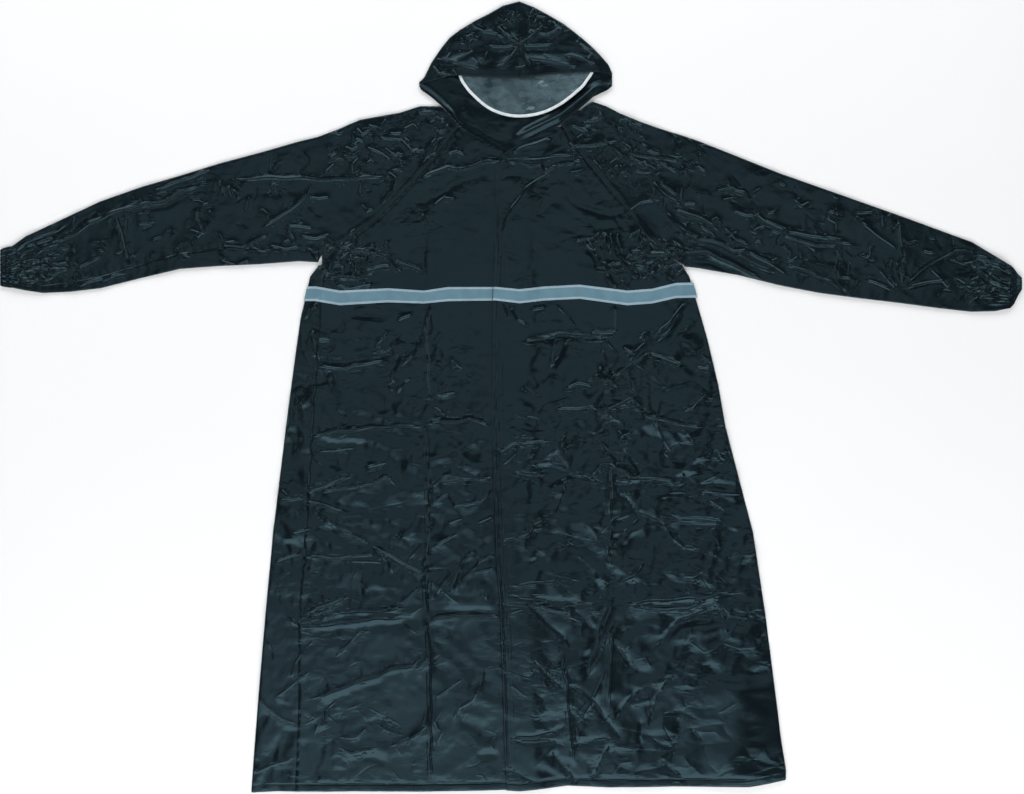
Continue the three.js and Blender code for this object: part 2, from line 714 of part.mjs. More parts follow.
// On the left sleeve the back is turned up over the lower edge to a seam on the front; on the right one the
// front is turned down round the lower edge to a seam on the underside.
function sleeveSection(side, station) {
  const x = side * station.out;
  const { tube, atNeck, seamY, top, bottom, seam } = station;
  const turnedUp = side < 0;
  const edgeTop = TOP_MID + EDGE_SHARE * rise(x, top - NEAR_EDGE);
  const upper = foldedEdge(top, 1, edgeTop, FLOOR_MID);
  const lowTop = TOP_MID + EDGE_SHARE * rise(x, bottom + NEAR_EDGE);
  const lower = foldedEdge(bottom, -1, lowTop, FLOOR_MID).reverse();
  const seamNear = tube ? seam : seamY;
  const topStart = turnedUp || !tube ? seamNear + SEAM / 2 : lower[FOLD_CELLS].s;
  const floorEnd = turnedUp && tube ? lower[0].s : seamNear + SEAM / 2;
  const topEnd = atNeck ? top : upper[0].s;
  const floorStart = atNeck ? top : upper[FOLD_CELLS].s;
  const topRun = spread(topStart, topEnd, SLEEVE_CELLS.top)
    .map((y, k) => sleeveTop(x, y, k / SLEEVE_CELLS.top));
  if (!atNeck) topRun[SLEEVE_CELLS.top].z = edgeTop;
  if (!turnedUp && tube) topRun[0].z = lower[FOLD_CELLS].z;
  const fold = upper.slice(1, -1);
  const floorRun = spread(floorStart, floorEnd, SLEEVE_CELLS.floor).map(sleeveFloor);
  if (turnedUp) {
    const wrapY = spread(lower[FOLD_CELLS].s, seam - SEAM / 2, SLEEVE_CELLS.wrap).slice(1);
    const wrap = wrapY.map((y) => ({ ...sleeveTop(x, y, 0), z: TOP_MID + rise(x, y) }));
    return acrossY(x, [...topRun, ...fold, ...floorRun, ...lower.slice(1), ...wrap]);
  }
  const wrap = spread(seam - SEAM / 2, lower[0].s, SLEEVE_CELLS.wrap).slice(0, -1).map(sleeveFloor);
  return acrossY(x, [...wrap, ...lower.slice(0, -1), ...topRun, ...fold, ...floorRun]);
}

function sleeve(side, outline) {
  const stations = sleeveStations(side, outline);
  const turnedUp = side < 0;
  const { top, fold, floor, wrap } = SLEEVE_CELLS;
  const lead = turnedUp ? 0 : wrap + fold;
  const keep = (i, j) => {
    const full = !stations[i].atNeck && !stations[i + 1].atNeck;
    const tube = stations[i].tube && stations[i + 1].tube;
    const k = j - lead;
    if (k < 0) return tube;
    if (k < top) return true;
    if (k < top + fold) return full;
    if (k < top + fold + floor) return true;
    return tube;
  };
  return clothWall(stations.map((station) => sleeveSection(side, station)), { keep });
}
addPiece('sleeve_left', sleeve(-1, SLEEVE_LEFT), 'cloth');
addPiece('sleeve_right', sleeve(1, SLEEVE_RIGHT), 'cloth');

// Elastic cuff: a flattened ring whose cloth is gathered into even waves.
function cuff(side, outline) {
  const around = CUFF_GATHERS * 4;
  const grid = outline.map((row) => {
    const middle = (row.top + row.bottom) / 2;
    const reach = (row.top - row.bottom) / 2 - WALL / 2;
    return Array.from({ length: around }, (_, k) => {
      const turn = (2 * Math.PI * (k + 0.5)) / around;
      const flat = Math.sign(Math.sin(turn)) * Math.abs(Math.sin(turn)) ** CUFF_SQUARENESS;
      const wave = CUFF_WAVE * Math.cos(Math.PI * k) * Math.abs(Math.sin(turn));
      const gathered = flat > 0 ? CUFF_PUFF * flat + wave : CUFF_UNDER_WAVE * Math.abs(wave);
      const z = FLOOR_MID + CUFF_TALL * (1 + flat) + gathered;
      const normal = new THREE.Vector2(Math.cos(turn) / reach, flat / CUFF_TALL).normalize();
      return {
        p: new THREE.Vector3(side * row.out, middle + reach * Math.cos(turn), z),
        n: new THREE.Vector3(0, normal.x, normal.y),
      };
    });
  });
  return clothWall(grid, { ring: true });
}
addPiece('cuff_left', cuff(-1, CUFF_LEFT), 'cloth');
addPiece('cuff_right', cuff(1, CUFF_RIGHT), 'cloth');

// Hood. Its crown lies folded forward over its back, so a section along Y is a hairpin: from the brim up to
// the crown's fold, round it, and down the underside to the neck edge.
const HOOD_CELLS = { crown: 6, fold: FOLD_CELLS, back: 5 };
const NECK_STOPS = [45, 26, CREST_IN, 8, 0];
const NECK_ZONE = 80;          // on a shorter section the stops move together
const LEFT_HOOD_X = [-156, -148, -136, -116, -102, -88, -62, -38, -14, HOOD_SEAM_X - SEAM / 2];
const RIGHT_HOOD_X = [HOOD_SEAM_X + SEAM / 2, 38, 60, 83, 104, 124, 140, 154, 166, 172];

// 1 between two ends along X, dying away to 0 at each of them.
const between = (left, right, x) => smooth((x - left.x) / left.ease) * smooth((right.x - x) / right.ease);

function hoodTop(x, y) {
  const brim = lookup(HOOD, 'x', 'brim', x);
  const middle = between(BRIM_LEFT, BRIM_RIGHT, x);
  const lift = BRIM_RISE * middle * (1 - smooth((y - brim - BRIM_FLAT) / BRIM_REACH));
  const inland = smooth((lookup(HOOD, 'x', 'crown', x) - y) / CROWN_EASE);
  return lookup(HOOD, 'x', 'height', x) + lift + inland * foldRise(HOOD_FOLDS, x, y);
}

// The hood's back lies on the surface, climbs over the coat's back at the neck and, on the fly's side,
// stands up in a crest along the face opening.
function hoodBack(x, y) {
  const fromNeck = y - lookup(NECK, 'x', 'y', x);
  const overCoat = OVER_COAT * (1 - smooth((y - OVER_COAT_Y) / OVER_COAT_EASE));
  const atNeck = (TOP_MID - FLOOR_MID) * (1 - smooth(fromNeck / NECK_EASE));
  const section = Math.exp(-(((fromNeck - CREST_IN) / CREST_WIDTH) ** 2));
  const crest = CREST_HEIGHT * between(CREST_LEFT, CREST_RIGHT, x) * section;
  return FLOOR_MID + Math.max(overCoat, atNeck) + crest;
}

function hoodSection(x) {
  const crown = lookup(HOOD, 'x', 'crown', x);
  const brim = lookup(HOOD, 'x', 'brim', x);
  const low = lookup(NECK, 'x', 'y', x) + HOOD_GAP;
  const edge = foldedEdge(crown, 1, hoodTop(x, crown), FLOOR_MID);
  const top = spread(Math.min(brim, edge[0].s - 1), edge[0].s, HOOD_CELLS.crown)
    .map((y) => ({ s: y, z: hoodTop(x, y), normal: FACE_UP }));
  top[HOOD_CELLS.crown].z = edge[0].z;
  const length = edge[FOLD_CELLS].s - low;
  const scale = Math.min(1, length / NECK_ZONE);
  const upper = spread(edge[FOLD_CELLS].s, low + NECK_STOPS[0] * scale, HOOD_CELLS.back);
  const lower = NECK_STOPS.slice(1).map((stop) => low + stop * scale);
  const back = [...upper, ...lower].map((y) => ({ s: y, z: hoodBack(x, y), normal: FACE_DOWN }));
  back[0].z = FLOOR_MID;
  return acrossY(x, [...top, ...edge.slice(1, -1), ...back]);
}
addPiece('hood_left', clothWall(LEFT_HOOD_X.map(hoodSection)), 'cloth');
addPiece('hood_right', clothWall(RIGHT_HOOD_X.map(hoodSection)), 'cloth');

// Clear visor: a flat crescent sewn in below the brim, with a binding folded round its free edge.
const VISOR_CELLS = { along: 14, across: 3 };
const visorPoints = VISOR.map(({ x, y }) => new THREE.Vector3(x, y, 0));
const visorEdge = new THREE.CatmullRomCurve3(visorPoints, false, 'centripetal');
const visorSpan = visorEdge.getSpacedPoints(VISOR_CELLS.along);
const visorStations = visorSpan.map((point, k) => {
  const before = visorSpan[Math.max(0, k - 1)];
  const ahead = visorSpan[Math.min(VISOR_CELLS.along, k + 1)].clone().sub(before).normalize();
  return { point, inward: new THREE.Vector3(-ahead.y, ahead.x, 0) };
});
const visorGrid = visorStations.map(({ point, inward }) => {
  const edge = point.clone().addScaledVector(inward, BINDING_WALL + SEAM);
  const sewn = lookup(HOOD, 'x', 'brim', edge.x) + VISOR_TUCK;
  return spread(sewn, edge.y, VISOR_CELLS.across).map((s) => ({
    p: new THREE.Vector3(edge.x, s, VISOR_MID),
    n: new THREE.Vector3(0, 0, 1),
  }));
});
addPiece('visor', clothWall(visorGrid, { near: -VISOR_WALL / 2, far: VISOR_WALL / 2 }), 'visor');

// The binding's section is a U that opens towards the visor.
function bindingSection(point, inward) {
  const tall = BINDING_INNER / 2 + BINDING_WALL;
  const clear = BINDING_INNER / 2;
  const profile = [[0, tall], [0, -tall], [BINDING_WIDTH, -tall], [BINDING_WIDTH, -clear],
    [BINDING_WALL, -clear], [BINDING_WALL, clear], [BINDING_WIDTH, clear], [BINDING_WIDTH, tall]];
  return profile.map(([deep, z]) => new THREE.Vector3(
    point.x + inward.x * deep,
    point.y + inward.y * deep,
    VISOR_MID + z,
  ));
}

// A closed bar through equal rings of points.
function loft(rings, caps) {
  const size = rings[0].length;
  const points = rings.flatMap((ring) => ring.flatMap(({ x, y, z }) => [x, y, z]));
  const faces = [];
  for (let i = 0; i + 1 < rings.length; i += 1) {
    for (let k = 0; k < size; k += 1) {
      const a = i * size + k;
      const b = i * size + ((k + 1) % size);
      faces.push(a, b, b + size, a, b + size, a + size);
    }
  }
  const end = (rings.length - 1) * size;
  caps.forEach(([a, b, c]) => faces.push(a, c, b, end + a, end + b, end + c));
  const geometry = new THREE.BufferGeometry();
  geometry.setAttribute('position', new THREE.Float32BufferAttribute(points, 3));
  geometry.setIndex(facingOut(points, faces));
  geometry.computeVertexNormals();
  return geometry;
}

const bindingRings = visorStations.map(({ point, inward }) => bindingSection(point, inward));
const U_CAPS = [[0, 1, 4], [0, 4, 5], [1, 2, 3], [1, 3, 4], [0, 5, 6], [0, 6, 7]];
addPiece('visor_binding', loft(bindingRings, U_CAPS), 'binding');

export default raincoat;
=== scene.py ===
# %% [markdown]
# # A hooded raincoat laid out flat
# The coat is one of coated nylon, so thin that it takes a crisp crease wherever it was once packed. It lies on
# its back with its arms out, and it is seen from straight above. Each panel that a maker would cut is its own
# thin sheet here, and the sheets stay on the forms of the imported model, which sets every size.

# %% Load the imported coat
import math

import bpy
import numpy as np
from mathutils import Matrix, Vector


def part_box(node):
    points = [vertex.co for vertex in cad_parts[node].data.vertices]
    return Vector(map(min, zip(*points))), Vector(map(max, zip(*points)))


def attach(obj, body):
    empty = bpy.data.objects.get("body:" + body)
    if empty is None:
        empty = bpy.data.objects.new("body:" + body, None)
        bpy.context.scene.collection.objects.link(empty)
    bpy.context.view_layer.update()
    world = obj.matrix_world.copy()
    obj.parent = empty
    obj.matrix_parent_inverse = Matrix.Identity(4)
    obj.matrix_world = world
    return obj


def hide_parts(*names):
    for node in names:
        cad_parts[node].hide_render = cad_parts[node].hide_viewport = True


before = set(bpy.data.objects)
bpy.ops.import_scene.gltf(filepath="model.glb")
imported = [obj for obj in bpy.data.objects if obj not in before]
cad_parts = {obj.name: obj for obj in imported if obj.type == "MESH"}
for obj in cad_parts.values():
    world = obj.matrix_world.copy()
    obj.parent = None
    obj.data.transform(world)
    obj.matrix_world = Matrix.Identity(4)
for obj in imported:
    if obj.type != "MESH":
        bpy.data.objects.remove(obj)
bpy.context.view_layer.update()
MM = 0.001

# %% [markdown]
# ## Camera and light
# The camera hangs straight above the middle of the coat. Three metres up it still shows a little of each
# side wall, and it turns the hem end towards whatever light lies beyond the hem. That is how the lower third
# of the real coat gets its broad soft sheen, while the chest mirrors the dark space above it.

# %% Camera straight above
CAMERA_HEIGHT = 3.0
FRAME_WIDTH = 1.7408
camera_data = bpy.data.cameras.new("camera_above")
camera_data.sensor_width = 36.0
camera_data.lens = 36.0 * (CAMERA_HEIGHT - 0.006) / FRAME_WIDTH
camera = bpy.data.objects.new("camera_above", camera_data)
camera.location = (0.0017, 0.0, CAMERA_HEIGHT)
bpy.context.collection.objects.link(camera)
bpy.context.scene.camera = camera
print("lens, mm:", round(camera_data.lens, 1))

# %% Softboxes and the room's own light
SOFTBOXES = {
    # name: (place, point it faces, width, height, brightness)
    "overhead": ((0.0, 0.25, 3.3), (0.0, 0.25, 0.0), 3.3, 1.70, 0.74),
    "above_hem": ((-0.215, -0.95, 2.1), (-0.15, -0.5, 0.0), 1.47, 0.62, 1.3),
    "beyond_hem": ((0.0, -1.85, 1.7), (0.0, -0.2, 0.0), 3.8, 1.35, 3.3),
    "beyond_hood": ((-0.1, 2.2, 1.1), (0.0, 0.4, 0.0), 4.2, 1.1, 3.3),
    "left_side": ((-2.9, 0.3, 1.1), (0.0, 0.2, 0.0), 1.5, 3.2, 1.3),
    "right_side": ((2.9, 0.3, 1.1), (0.0, 0.2, 0.0), 1.5, 3.2, 1.3),
}


def softbox(name, place, towards, width, height, brightness):
    lamp = bpy.data.lights.new(name, "AREA")
    lamp.shape = "RECTANGLE"
    lamp.size, lamp.size_y = width, height
    lamp.energy = math.pi * width * height * brightness
    box = bpy.data.objects.new(name, lamp)
    box.location = place
    aim = Vector(towards) - Vector(place)
    box.rotation_euler = aim.to_track_quat("-Z", "Y").to_euler()
    bpy.context.collection.objects.link(box)


for name, (place, towards, width, height, brightness) in SOFTBOXES.items():
    softbox(name, place, towards, width, height, brightness)

world = bpy.data.worlds.new("studio")
world.use_nodes = True
room = world.node_tree.nodes["Background"]
room.inputs["Color"].default_value = (0.80, 0.86, 0.92, 1.0)
room.inputs["Strength"].default_value = 0.09
bpy.context.scene.world = world
bpy.context.scene.view_settings.view_transform = "Standard"
print("softboxes:", len(SOFTBOXES))

# %% [markdown]
# ## The coat's measurements
# A pattern cutter keeps the outline and the seams as a few measured points. The same is done here, in
# millimetres: the origin is the middle of the coat on the surface that it lies on, X runs to the wearer's
# left, Y to the hood and Z up. Everything between two points is read off the straight line that joins them.

# %% Outlines and seams
def columns(names, *rows):
    return dict(zip(names.split(), np.array(rows, float).T))


def read(table, key, name, at):
    return np.interp(at, table[key], table[name])


def smooth(t):
    t = np.clip(t, 0.0, 1.0)
    return t * t * (3.0 - 2.0 * t)


BODY = columns(
    "y left seam right turn",
    (-673, -442, -367, 468, 62), (-655, -441, -367, 468, 62), (-535, -432, -362, 454, 60),
    (-370, -418, -362, 433, 58), (-230, -405, -351, 412, 55), (-50, -383, -340, 365, 50),
    (20, -374, -335, 353, 48), (100, -363, -330, 334, 44), (135, -358, -327, 324, 42),
    (172, -349, -325, 313, 38), (205, -342, -323, 303.5, 32), (224, -327, -321, 291, 22),
)
RAGLAN = columns(
    "y left right",
    (224, -321, 288), (243, -321.5, 264), (272, -268, 230), (304, -224, 206), (336, -191, 182),
    (368, -161, 154), (400, -135, 127), (418, -121, 113), (436, -106, 101), (459, -89, 85.5),
)
FLY = columns(
    "y x",
    (-668, -7.7), (-583, -11.9), (-498, -13.6), (-413, -17), (-345, -19.6), (-301, -23.8), (-260, -25.5),
    (-133, -29.8), (-48, -31.5), (165, -31.3), (250, -27.7), (369, -25.5), (403, -23.8),
)
HEM = columns(
    "x y",
    (-441, -673), (-400, -671), (-155, -671), (-63, -669.5), (-12, -668), (15, -670), (66, -665),
    (97, -661), (168, -664), (270, -662.5), (406, -663), (437, -658), (468, -651),
)
NECK = columns(
    "x y",
    (-158, 532), (-153, 522), (-136, 510), (-116, 493), (-88, 461), (-10, 416),
    (83, 462), (129, 500), (140, 510), (165, 522), (175, 531),
)
TAPE = columns(
    "x top bottom",
    (-400, 188, 163), (-332, 188, 163), (-291, 181, 156), (-209, 185, 161), (-148, 181, 159),
    (-107, 187, 163), (-26, 187, 164), (15, 183, 159), (56, 188, 164), (117, 191, 167),
    (198, 181, 156), (240, 184, 159), (280, 194, 168), (400, 197, 172),
)
SLEEVES = {
    -1: columns(
        "out top bottom seam",
        (119, 495, 0, 0), (155, 495, 0, 0), (189, 484, 0, 0), (223, 478, 0, 0), (257, 472, 0, 0),
        (291, 457, 0, 0), (328, 443, 229, 247), (361, 435, 231, 250), (427, 416, 226, 252),
        (495, 398, 223, 254), (563, 377, 218, 246), (631, 357, 202, 226), (699, 333, 185, 206),
        (750, 309, 179, 196), (797, 287, 177, 190), (825, 274, 181, 192), (849, 257, 186, 195),
    ),
    1: columns(
        "out top bottom seam",
        (119, 489, 0, 0), (127, 496, 0, 0), (138, 503, 0, 0), (162, 495, 0, 0), (185, 483, 0, 0),
        (219, 469, 0, 0), (253, 457, 0, 0), (295, 444, 222, 238), (321, 435, 219, 236),
        (389, 408, 207, 226), (457, 381, 190, 211), (525, 357, 177, 198), (593, 333, 168, 189),
        (661, 309, 160, 181), (729, 284, 151, 170), (784, 264, 145, 162), (824, 240, 146, 158),
        (849, 225, 151, 161),
    ),
}
CUFFS = {
    -1: columns("out top bottom", (849.5, 257, 185), (856, 256, 186), (863, 254, 187), (869, 251, 189)),
    1: columns("out top bottom", (849.5, 225, 151), (856, 219, 158), (863, 209, 173), (869, 204, 182)),
}
HOOD = columns(
    "x brim crown height",
    (-156, 532, 536, 4.6), (-148, 535, 543, 4.8), (-136, 538, 568, 5), (-120, 542, 592, 5.4),
    (-104, 545, 612, 5.6), (-88, 546, 624, 5.8), (-62, 544, 640, 6), (-38, 543, 652, 6),
    (-14, 542, 666, 6.2), (14, 542, 673.4, 6.4), (40, 544, 663, 6.2), (64, 548, 650, 6),
    (88, 550, 636, 6), (108, 551, 621, 5.8), (124, 552, 608, 5.6), (140, 552, 594, 5.4),
    (154, 552, 579, 5.2), (166, 550, 565, 5), (172, 543, 551, 4.6),
)
VISOR = columns(
    "x y",
    (-89, 546), (-83, 533), (-66, 512), (-36, 488), (2, 476),
    (45, 479), (83, 495), (119, 523), (132, 539), (140, 551),
)
ARMPIT_Y = 224.0
TOP_OF_FLY = 400.0
NECK_ROW = 459.0
print("chest across, mm:", read(BODY, "y", "right", 172) - read(BODY, "y", "left", 172))

# %% [markdown]
# ## Creases
# Coated nylon keeps the creases of its packing. Each is a broken line with a half width and a height, and one of three
# sections: soft, a rounded swell or trough; crisp, a sharp ridge between two flat slopes; and lip, which falls steeply
# on the right of its run and gently on its left. The large ones are placed one by one where the real coat has them, and
# many small ones are strewn about the places where it is crumpled.

# %% The creases that are placed one by one
COAT_CREASES = [
    # packing creases
    ("crisp", 7, 2.2, -138, 156, -143, 109, -141, 66, -139, -5),
    ("crisp", 6, 1.8, -141, -48, -139, -124, -139, -175, -141, -260, -143, -345, -138, -430, -136, -515, -136, -583, -135, -673),
    ("crisp", 6, 1.6, 175, 156, 178, 110),
    ("crisp", 6, 1.6, 170, -110, 170, -158, 172, -209, 168, -264),
    ("crisp", 5, 1.6, 175, -393, 172, -430, 168, -498, 168, -525),
    # waist, left
    ("soft", 6, -1.4, -350, 63, -274, 60, -237, 66, -211, 77, -201, 92, -186, 117),
    ("crisp", 6, 1.4, -330, 52, -282, 48, -260, 53, -231, 60, -211, 60),
    ("lip", 6, 1.6, -235, 75, -209, 80, -201, 92),
    ("crisp", 4, 1.2, -231, 88, -209, 109),
    ("crisp", 4, 1.3, -192, 131, -169, 139),
    ("lip", 5, 2.4, -180, 75, -186, 66, -197, 43, -203, 24),
    ("crisp", 4, 1.8, -209, 20, -201, 12),
    ("crisp", 5, 1.4, -194, 7, -180, 26, -169, 32),
    ("lip", 5, 2, -138, 156, -141, 134, -143, 111, -155, 92, -167, 69, -189, 52),
    ("soft", 7, -1.4, -126, 94, -121, 66, -107, 46),
    ("crisp", 4, 1.1, -104, 63, -82, 49),
    ("soft", 8, 1.4, -78, 44, -60, 46, -39, 39),
    ("crisp", 4, 1.1, -124, 3, -95, 9),
    ("crisp", 5, 1.6, -129, -16, -119, -22, -112, -31),
    ("crisp", 5, 1.4, -138, -39, -118, -36),
    ("soft", 5, -1.4, -139, -5, -152, -33, -152, -48),
    ("lip", 8, 2.8, -152, -49, -194, -50, -237, -53, -299, -59, -339, -67),
    ("lip", 8, 2.6, -39, -48, -73, -37, -95, -43, -141, -44),
    ("soft", 12, 2.4, -339, -73, -277, -65, -237, -66, -209, -78, -180, -100, -152, -119, -141, -136),
    ("soft", 6, -1, -325, -83, -282, -78, -240, -83),
    ("crisp", 5, 1.2, -328, -93, -305, -90, -265, -87),
    ("soft", 14, 2.6, -141, -100, -104, -95, -67, -118, -31, -131),
    ("crisp", 5, 1.6, -141, -158, -109, -134, -73, -141, -31, -134),
    ("lip", 6, 1.8, -31, -155, -53, -180, -95, -186, -109, -167, -141, -185),
    ("lip", 6, 1.8, -274, -135, -316, -152, -345, -163),
    ("lip", 7, 2, -194, -152, -214, -135, -237, -150, -282, -155, -322, -163),
    ("crisp", 5, 1.2, -347, -175, -308, -184, -282, -195),
    ("soft", 9, 1.6, -274, -180, -240, -180, -226, -196),
    ("crisp", 3.5, 1.6, -338, -201, -330, -195, -291, -223, -274, -230, -231, -257, -206, -270, -185, -282, -148, -301, -128, -320, -105, -340, -90, -350),
    ("crisp", 5, 1.2, -245, -118, -211, -112),
    ("soft", 8, 1.6, -186, -169, -141, -155),
    ("soft", 7, 1.8, -189, -243, -169, -226, -146, -192),
    ("crisp", 4, -1.6, -197, -235, -163, -254),
    ("crisp", 4, 1.3, -141, -260, -109, -243, -92, -231),
    ("crisp", 4, 1, -104, -214, -82, -206),
    ("crisp", 4, 1, -56, -214, -31, -201),
    ("crisp", 5, 1.8, -350, 134, -340, 150, -328, 160),
    ("crisp", 5, 2, -337, 114, -333, 88, -326, 66),
    ("crisp", 4, 1.4, -329, 97, -308, 99),
    ("soft", 7, 2, -371, -7, -354, -8, -338, -5),
    ("crisp", 5, 1.4, -354, -7, -354, -20),
    ("lip", 6, 1.8, -354, -172, -376, -175, -396, -175),
    ("crisp", 4, 1.2, -391, -158, -376, -172),
    ("crisp", 5, 1.2, -371, -230, -342, -223),
    # skirt, left
    ("crisp", 6, 1.4, -401, -279, -359, -267),
    ("lip", 7, 1.8, -228, -267, -253, -270, -274, -273, -308, -275, -350, -270),
    ("crisp", 5, 1.2, -274, -280, -246, -279, -219, -282),
    ("lip", 5, 1.6, -231, -260, -210, -279, -201, -298),
    ("soft", 9, 2.2, -143, -280, -128, -294, -128, -311, -148, -332),
    ("crisp", 4, 2.4, -103, -298, -121, -322, -136, -343),
    ("lip", 5, 2.2, -60, -261, -78, -276, -90, -298, -103, -337),
    ("lip", 5, 2.2, -26, -270, -54, -279, -63, -291, -81, -309, -97, -331),
    ("crisp", 4, 1.4, -61, -298, -32, -291),
    ("crisp", 4, 1.4, -51, -322, -41, -343),
    ("crisp", 5, 1.8, -189, -352, -173, -337, -158, -325),
    ("crisp", 5, 1.8, -277, -340, -302, -350, -326, -359, -347, -368),
    ("crisp", 4, 1.4, -347, -368, -326, -368, -302, -353),
    ("crisp", 6, 2, -381, -374, -360, -386, -323, -380, -314, -371),
    ("lip", 7, 3.2, -185, -359, -201, -362, -246, -365, -299, -367),
    ("soft", 5, -2, -299, -376, -246, -372, -189, -367),
    ("lip", 6, 2.6, -192, -376, -231, -377, -277, -383, -323, -389, -360, -392),
    ("soft", 9, -2.2, -338, -401, -277, -396, -189, -386, -155, -377),
    ("lip", 6, 2.8, -20, -374, -63, -371, -103, -372, -124, -374, -143, -386),
    ("soft", 5, -2, -124, -366, -63, -364, -20, -366),
    ("crisp", 4, 1.6, -296, -441, -280, -423, -259, -401, -240, -398),
    ("soft", 9, -1.6, -199, -415, -182, -423, -168, -430),
    ("lip", 6, 2.8, -152, -441, -167, -457, -201, -462, -231, -475, -277, -490, -314, -506, -338, -512),
    ("soft", 6, -1.8, -213, -484, -231, -490, -262, -499, -296, -512, -320, -533),
    ("crisp", 4, 1.8, -161, -462, -139, -441),
    ("crisp", 3.5, 1.2, -395, -507, -369, -487, -342, -466),
    ("soft", 6, -1.6, -344, -556, -317, -551, -274, -545),
    ("soft", 5, -1.5, -250, -554, -216, -548),
    ("crisp", 5, 1.6, -289, -579, -265, -576, -246, -564),
    ("crisp", 4, 1.8, -222, -559, -185, -576),
    ("crisp", 4, 2, -202, -593, -170, -579, -146, -561),
    ("crisp", 3.5, 1.2, -418, -524, -390, -545, -366, -556),
    ("soft", 14, -2, -369, -561, -393, -588, -415, -625),
    ("lip", 5, 1.8, -438, -637, -400, -622, -372, -613),
    ("soft", 6, -1.8, -314, -625, -292, -614, -277, -622, -253, -613, -228, -615, -207, -628),
    ("soft", 5, -1.4, -280, -634, -259, -629),
    ("crisp", 5, 1.4, -289, -597, -271, -604, -231, -597),
    ("crisp", 4, 1.2, -129, -591, -115, -567),
    ("lip", 5, 2, -97, -548, -90, -527, -69, -515, -51, -490, -45, -466),
    ("crisp", 4, 1.4, -129, -512, -112, -499, -84, -481),
    ("soft", 13, -2.2, -94, -542, -63, -561, -20, -588),
    ("soft", 6, -1.6, -60, -607, -20, -610),
    ("soft", 7, -1.6, -70, -498, -53, -484, -27, -481),
    ("lip", 5, 1.8, -45, -462, -20, -457, -8, -466),
    # waist, right
    ("soft", 7, -2, -2, 134, 4, 104, 1, 73, -3, 46),
    ("lip", 5, 1.8, -1, 153, 10, 131, 26, 125),
    ("crisp", 5, 1.6, -14, 156, -2, 134),
    ("crisp", 4, 1, 34, 148, 59, 153),
    ("crisp", 3.5, 1.2, 79, 156, 99, 134, 111, 119),
    ("crisp", 5, -2.6, 22, 95, 65, 101, 81, 105, 111, 104, 148, 101, 160, 98),
    ("crisp", 4, -1.6, 136, 109, 178, 110),
    ("lip", 5, 2.2, 74, 95, 70, 73, 67, 52),
    ("crisp", 5, 2.2, 96, 95, 81, 67, 68, 52),
    ("soft", 7, -1.4, 53, 85, 47, 64, 37, 42),
    ("crisp", 4, 1.6, 160, 98, 175, 82),
    ("crisp", 4, 1.6, 190, 85, 209, 73, 231, 95),
    ("crisp", 4, 1.4, 218, 101, 231, 111),
    ("soft", 5, -1.8, 236, 113, 246, 88),
    ("crisp", 4, 1.6, 298, 162, 270, 128, 246, 107),
    ("crisp", 4, 1.6, 292, 147, 270, 113, 249, 95),
    ("crisp", 4, 1.4, 313, 128, 295, 116),
    ("soft", 12, 2.2, 287, 94, 308, 97, 321, 80),
    ("crisp", 4, 1.8, 322, 76, 341, 58),
    ("crisp", 4, -1.6, 234, 76, 267, 64, 298, 55),
    ("lip", 6, 2.4, 234, 76, 197, 49, 175, 36),
    ("crisp", 4, -1.6, 154, 80, 165, 60, 175, 39),
    ("crisp", 7, 2.6, 151, 52, 160, 31, 178, 18),
    ("crisp", 3.5, 1, 200, 42, 206, 18, 215, -3),
    ("crisp", 4, 1, 243, 49, 255, 64),
    ("soft", 7, 2.2, 310, 49, 326, 51, 343, 49),
    ("crisp", 4, -1.6, 316, 52, 338, 48),
    ("soft", 6, -1.8, 350, 36, 338, 18),
    ("soft", 8, -1.8, 351, 18, 343, -25, 328, -61),
    ("crisp", 6, 1.8, 332, 3, 310, -19, 295, -22),
    ("soft", 9, 2.2, 12, 17, 32, 29, 47, 15),
    ("soft", 9, -1.6, 10, 10, 26, -7, 47, -22),
    ("soft", 8, 2.2, -8, -12, 7, -3, 26, -17, 41, -28),
    ("crisp", 4, 1.2, 93, 15, 114, 24, 139, 18),
    ("crisp", 5, 1.6, 78, -19, 111, -20, 136, -15, 148, -22),
    ("soft", 5, -1.6, 160, 12, 151, -19, 148, -43),
    ("crisp", 6, 2.6, 163, -22, 188, -10, 206, -2, 227, -20),
    ("lip", 6, 2.8, 322, -52, 270, -43, 227, -31, 206, -6),
    ("soft", 12, 2.4, 206, -41, 240, -46, 270, -61, 304, -58),
    ("crisp", 6, -3, 169, -43, 148, -61, 129, -83, 111, -104, 102, -120),
    ("crisp", 4, 1.8, 148, -42, 160, -25, 172, -34),
    ("crisp", 3.5, 1.6, 175, -49, 190, -68, 206, -61),
    ("crisp", 3.5, 1.5, 182, -60, 192, -80, 202, -75),
    ("crisp", 5, -2.4, 190, -89, 209, -114, 221, -135),
    ("crisp", 4, 1.2, 154, -74, 166, -89, 169, -110),
    ("crisp", 3.5, 1.2, 243, -37, 261, -74, 273, -92),
    ("crisp", 3.5, 1.2, 261, -95, 279, -115),
    ("soft", 9, 2.4, 343, -58, 328, -80, 310, -110, 301, -141),
    ("crisp", 5, 1.6, -22, -94, 2, -80, 32, -76, 66, -75),
    ("crisp", 4, 1.6, 78, -86, 90, -71, 96, -61),
    ("crisp", 4, 1.5, 65, -99, 92, -75),
    ("crisp", 5, 1.6, -12, -114, 10, -92),
    ("soft", 12, 1.8, -10, -82, 49, -73, 126, -70),
    ("soft", 10, 1.6, 7, -104, 41, -100, 66, -104),
    ("crisp", 5, -2.4, 7, -129, 41, -132, 65, -138, 87, -139, 96, -135),
    ("crisp", 5, -2.8, 35, -117, 65, -121, 87, -129, 117, -135, 151, -143),
    ("crisp", 6, 3, 136, -133, 154, -115, 172, -112, 190, -126, 206, -138),
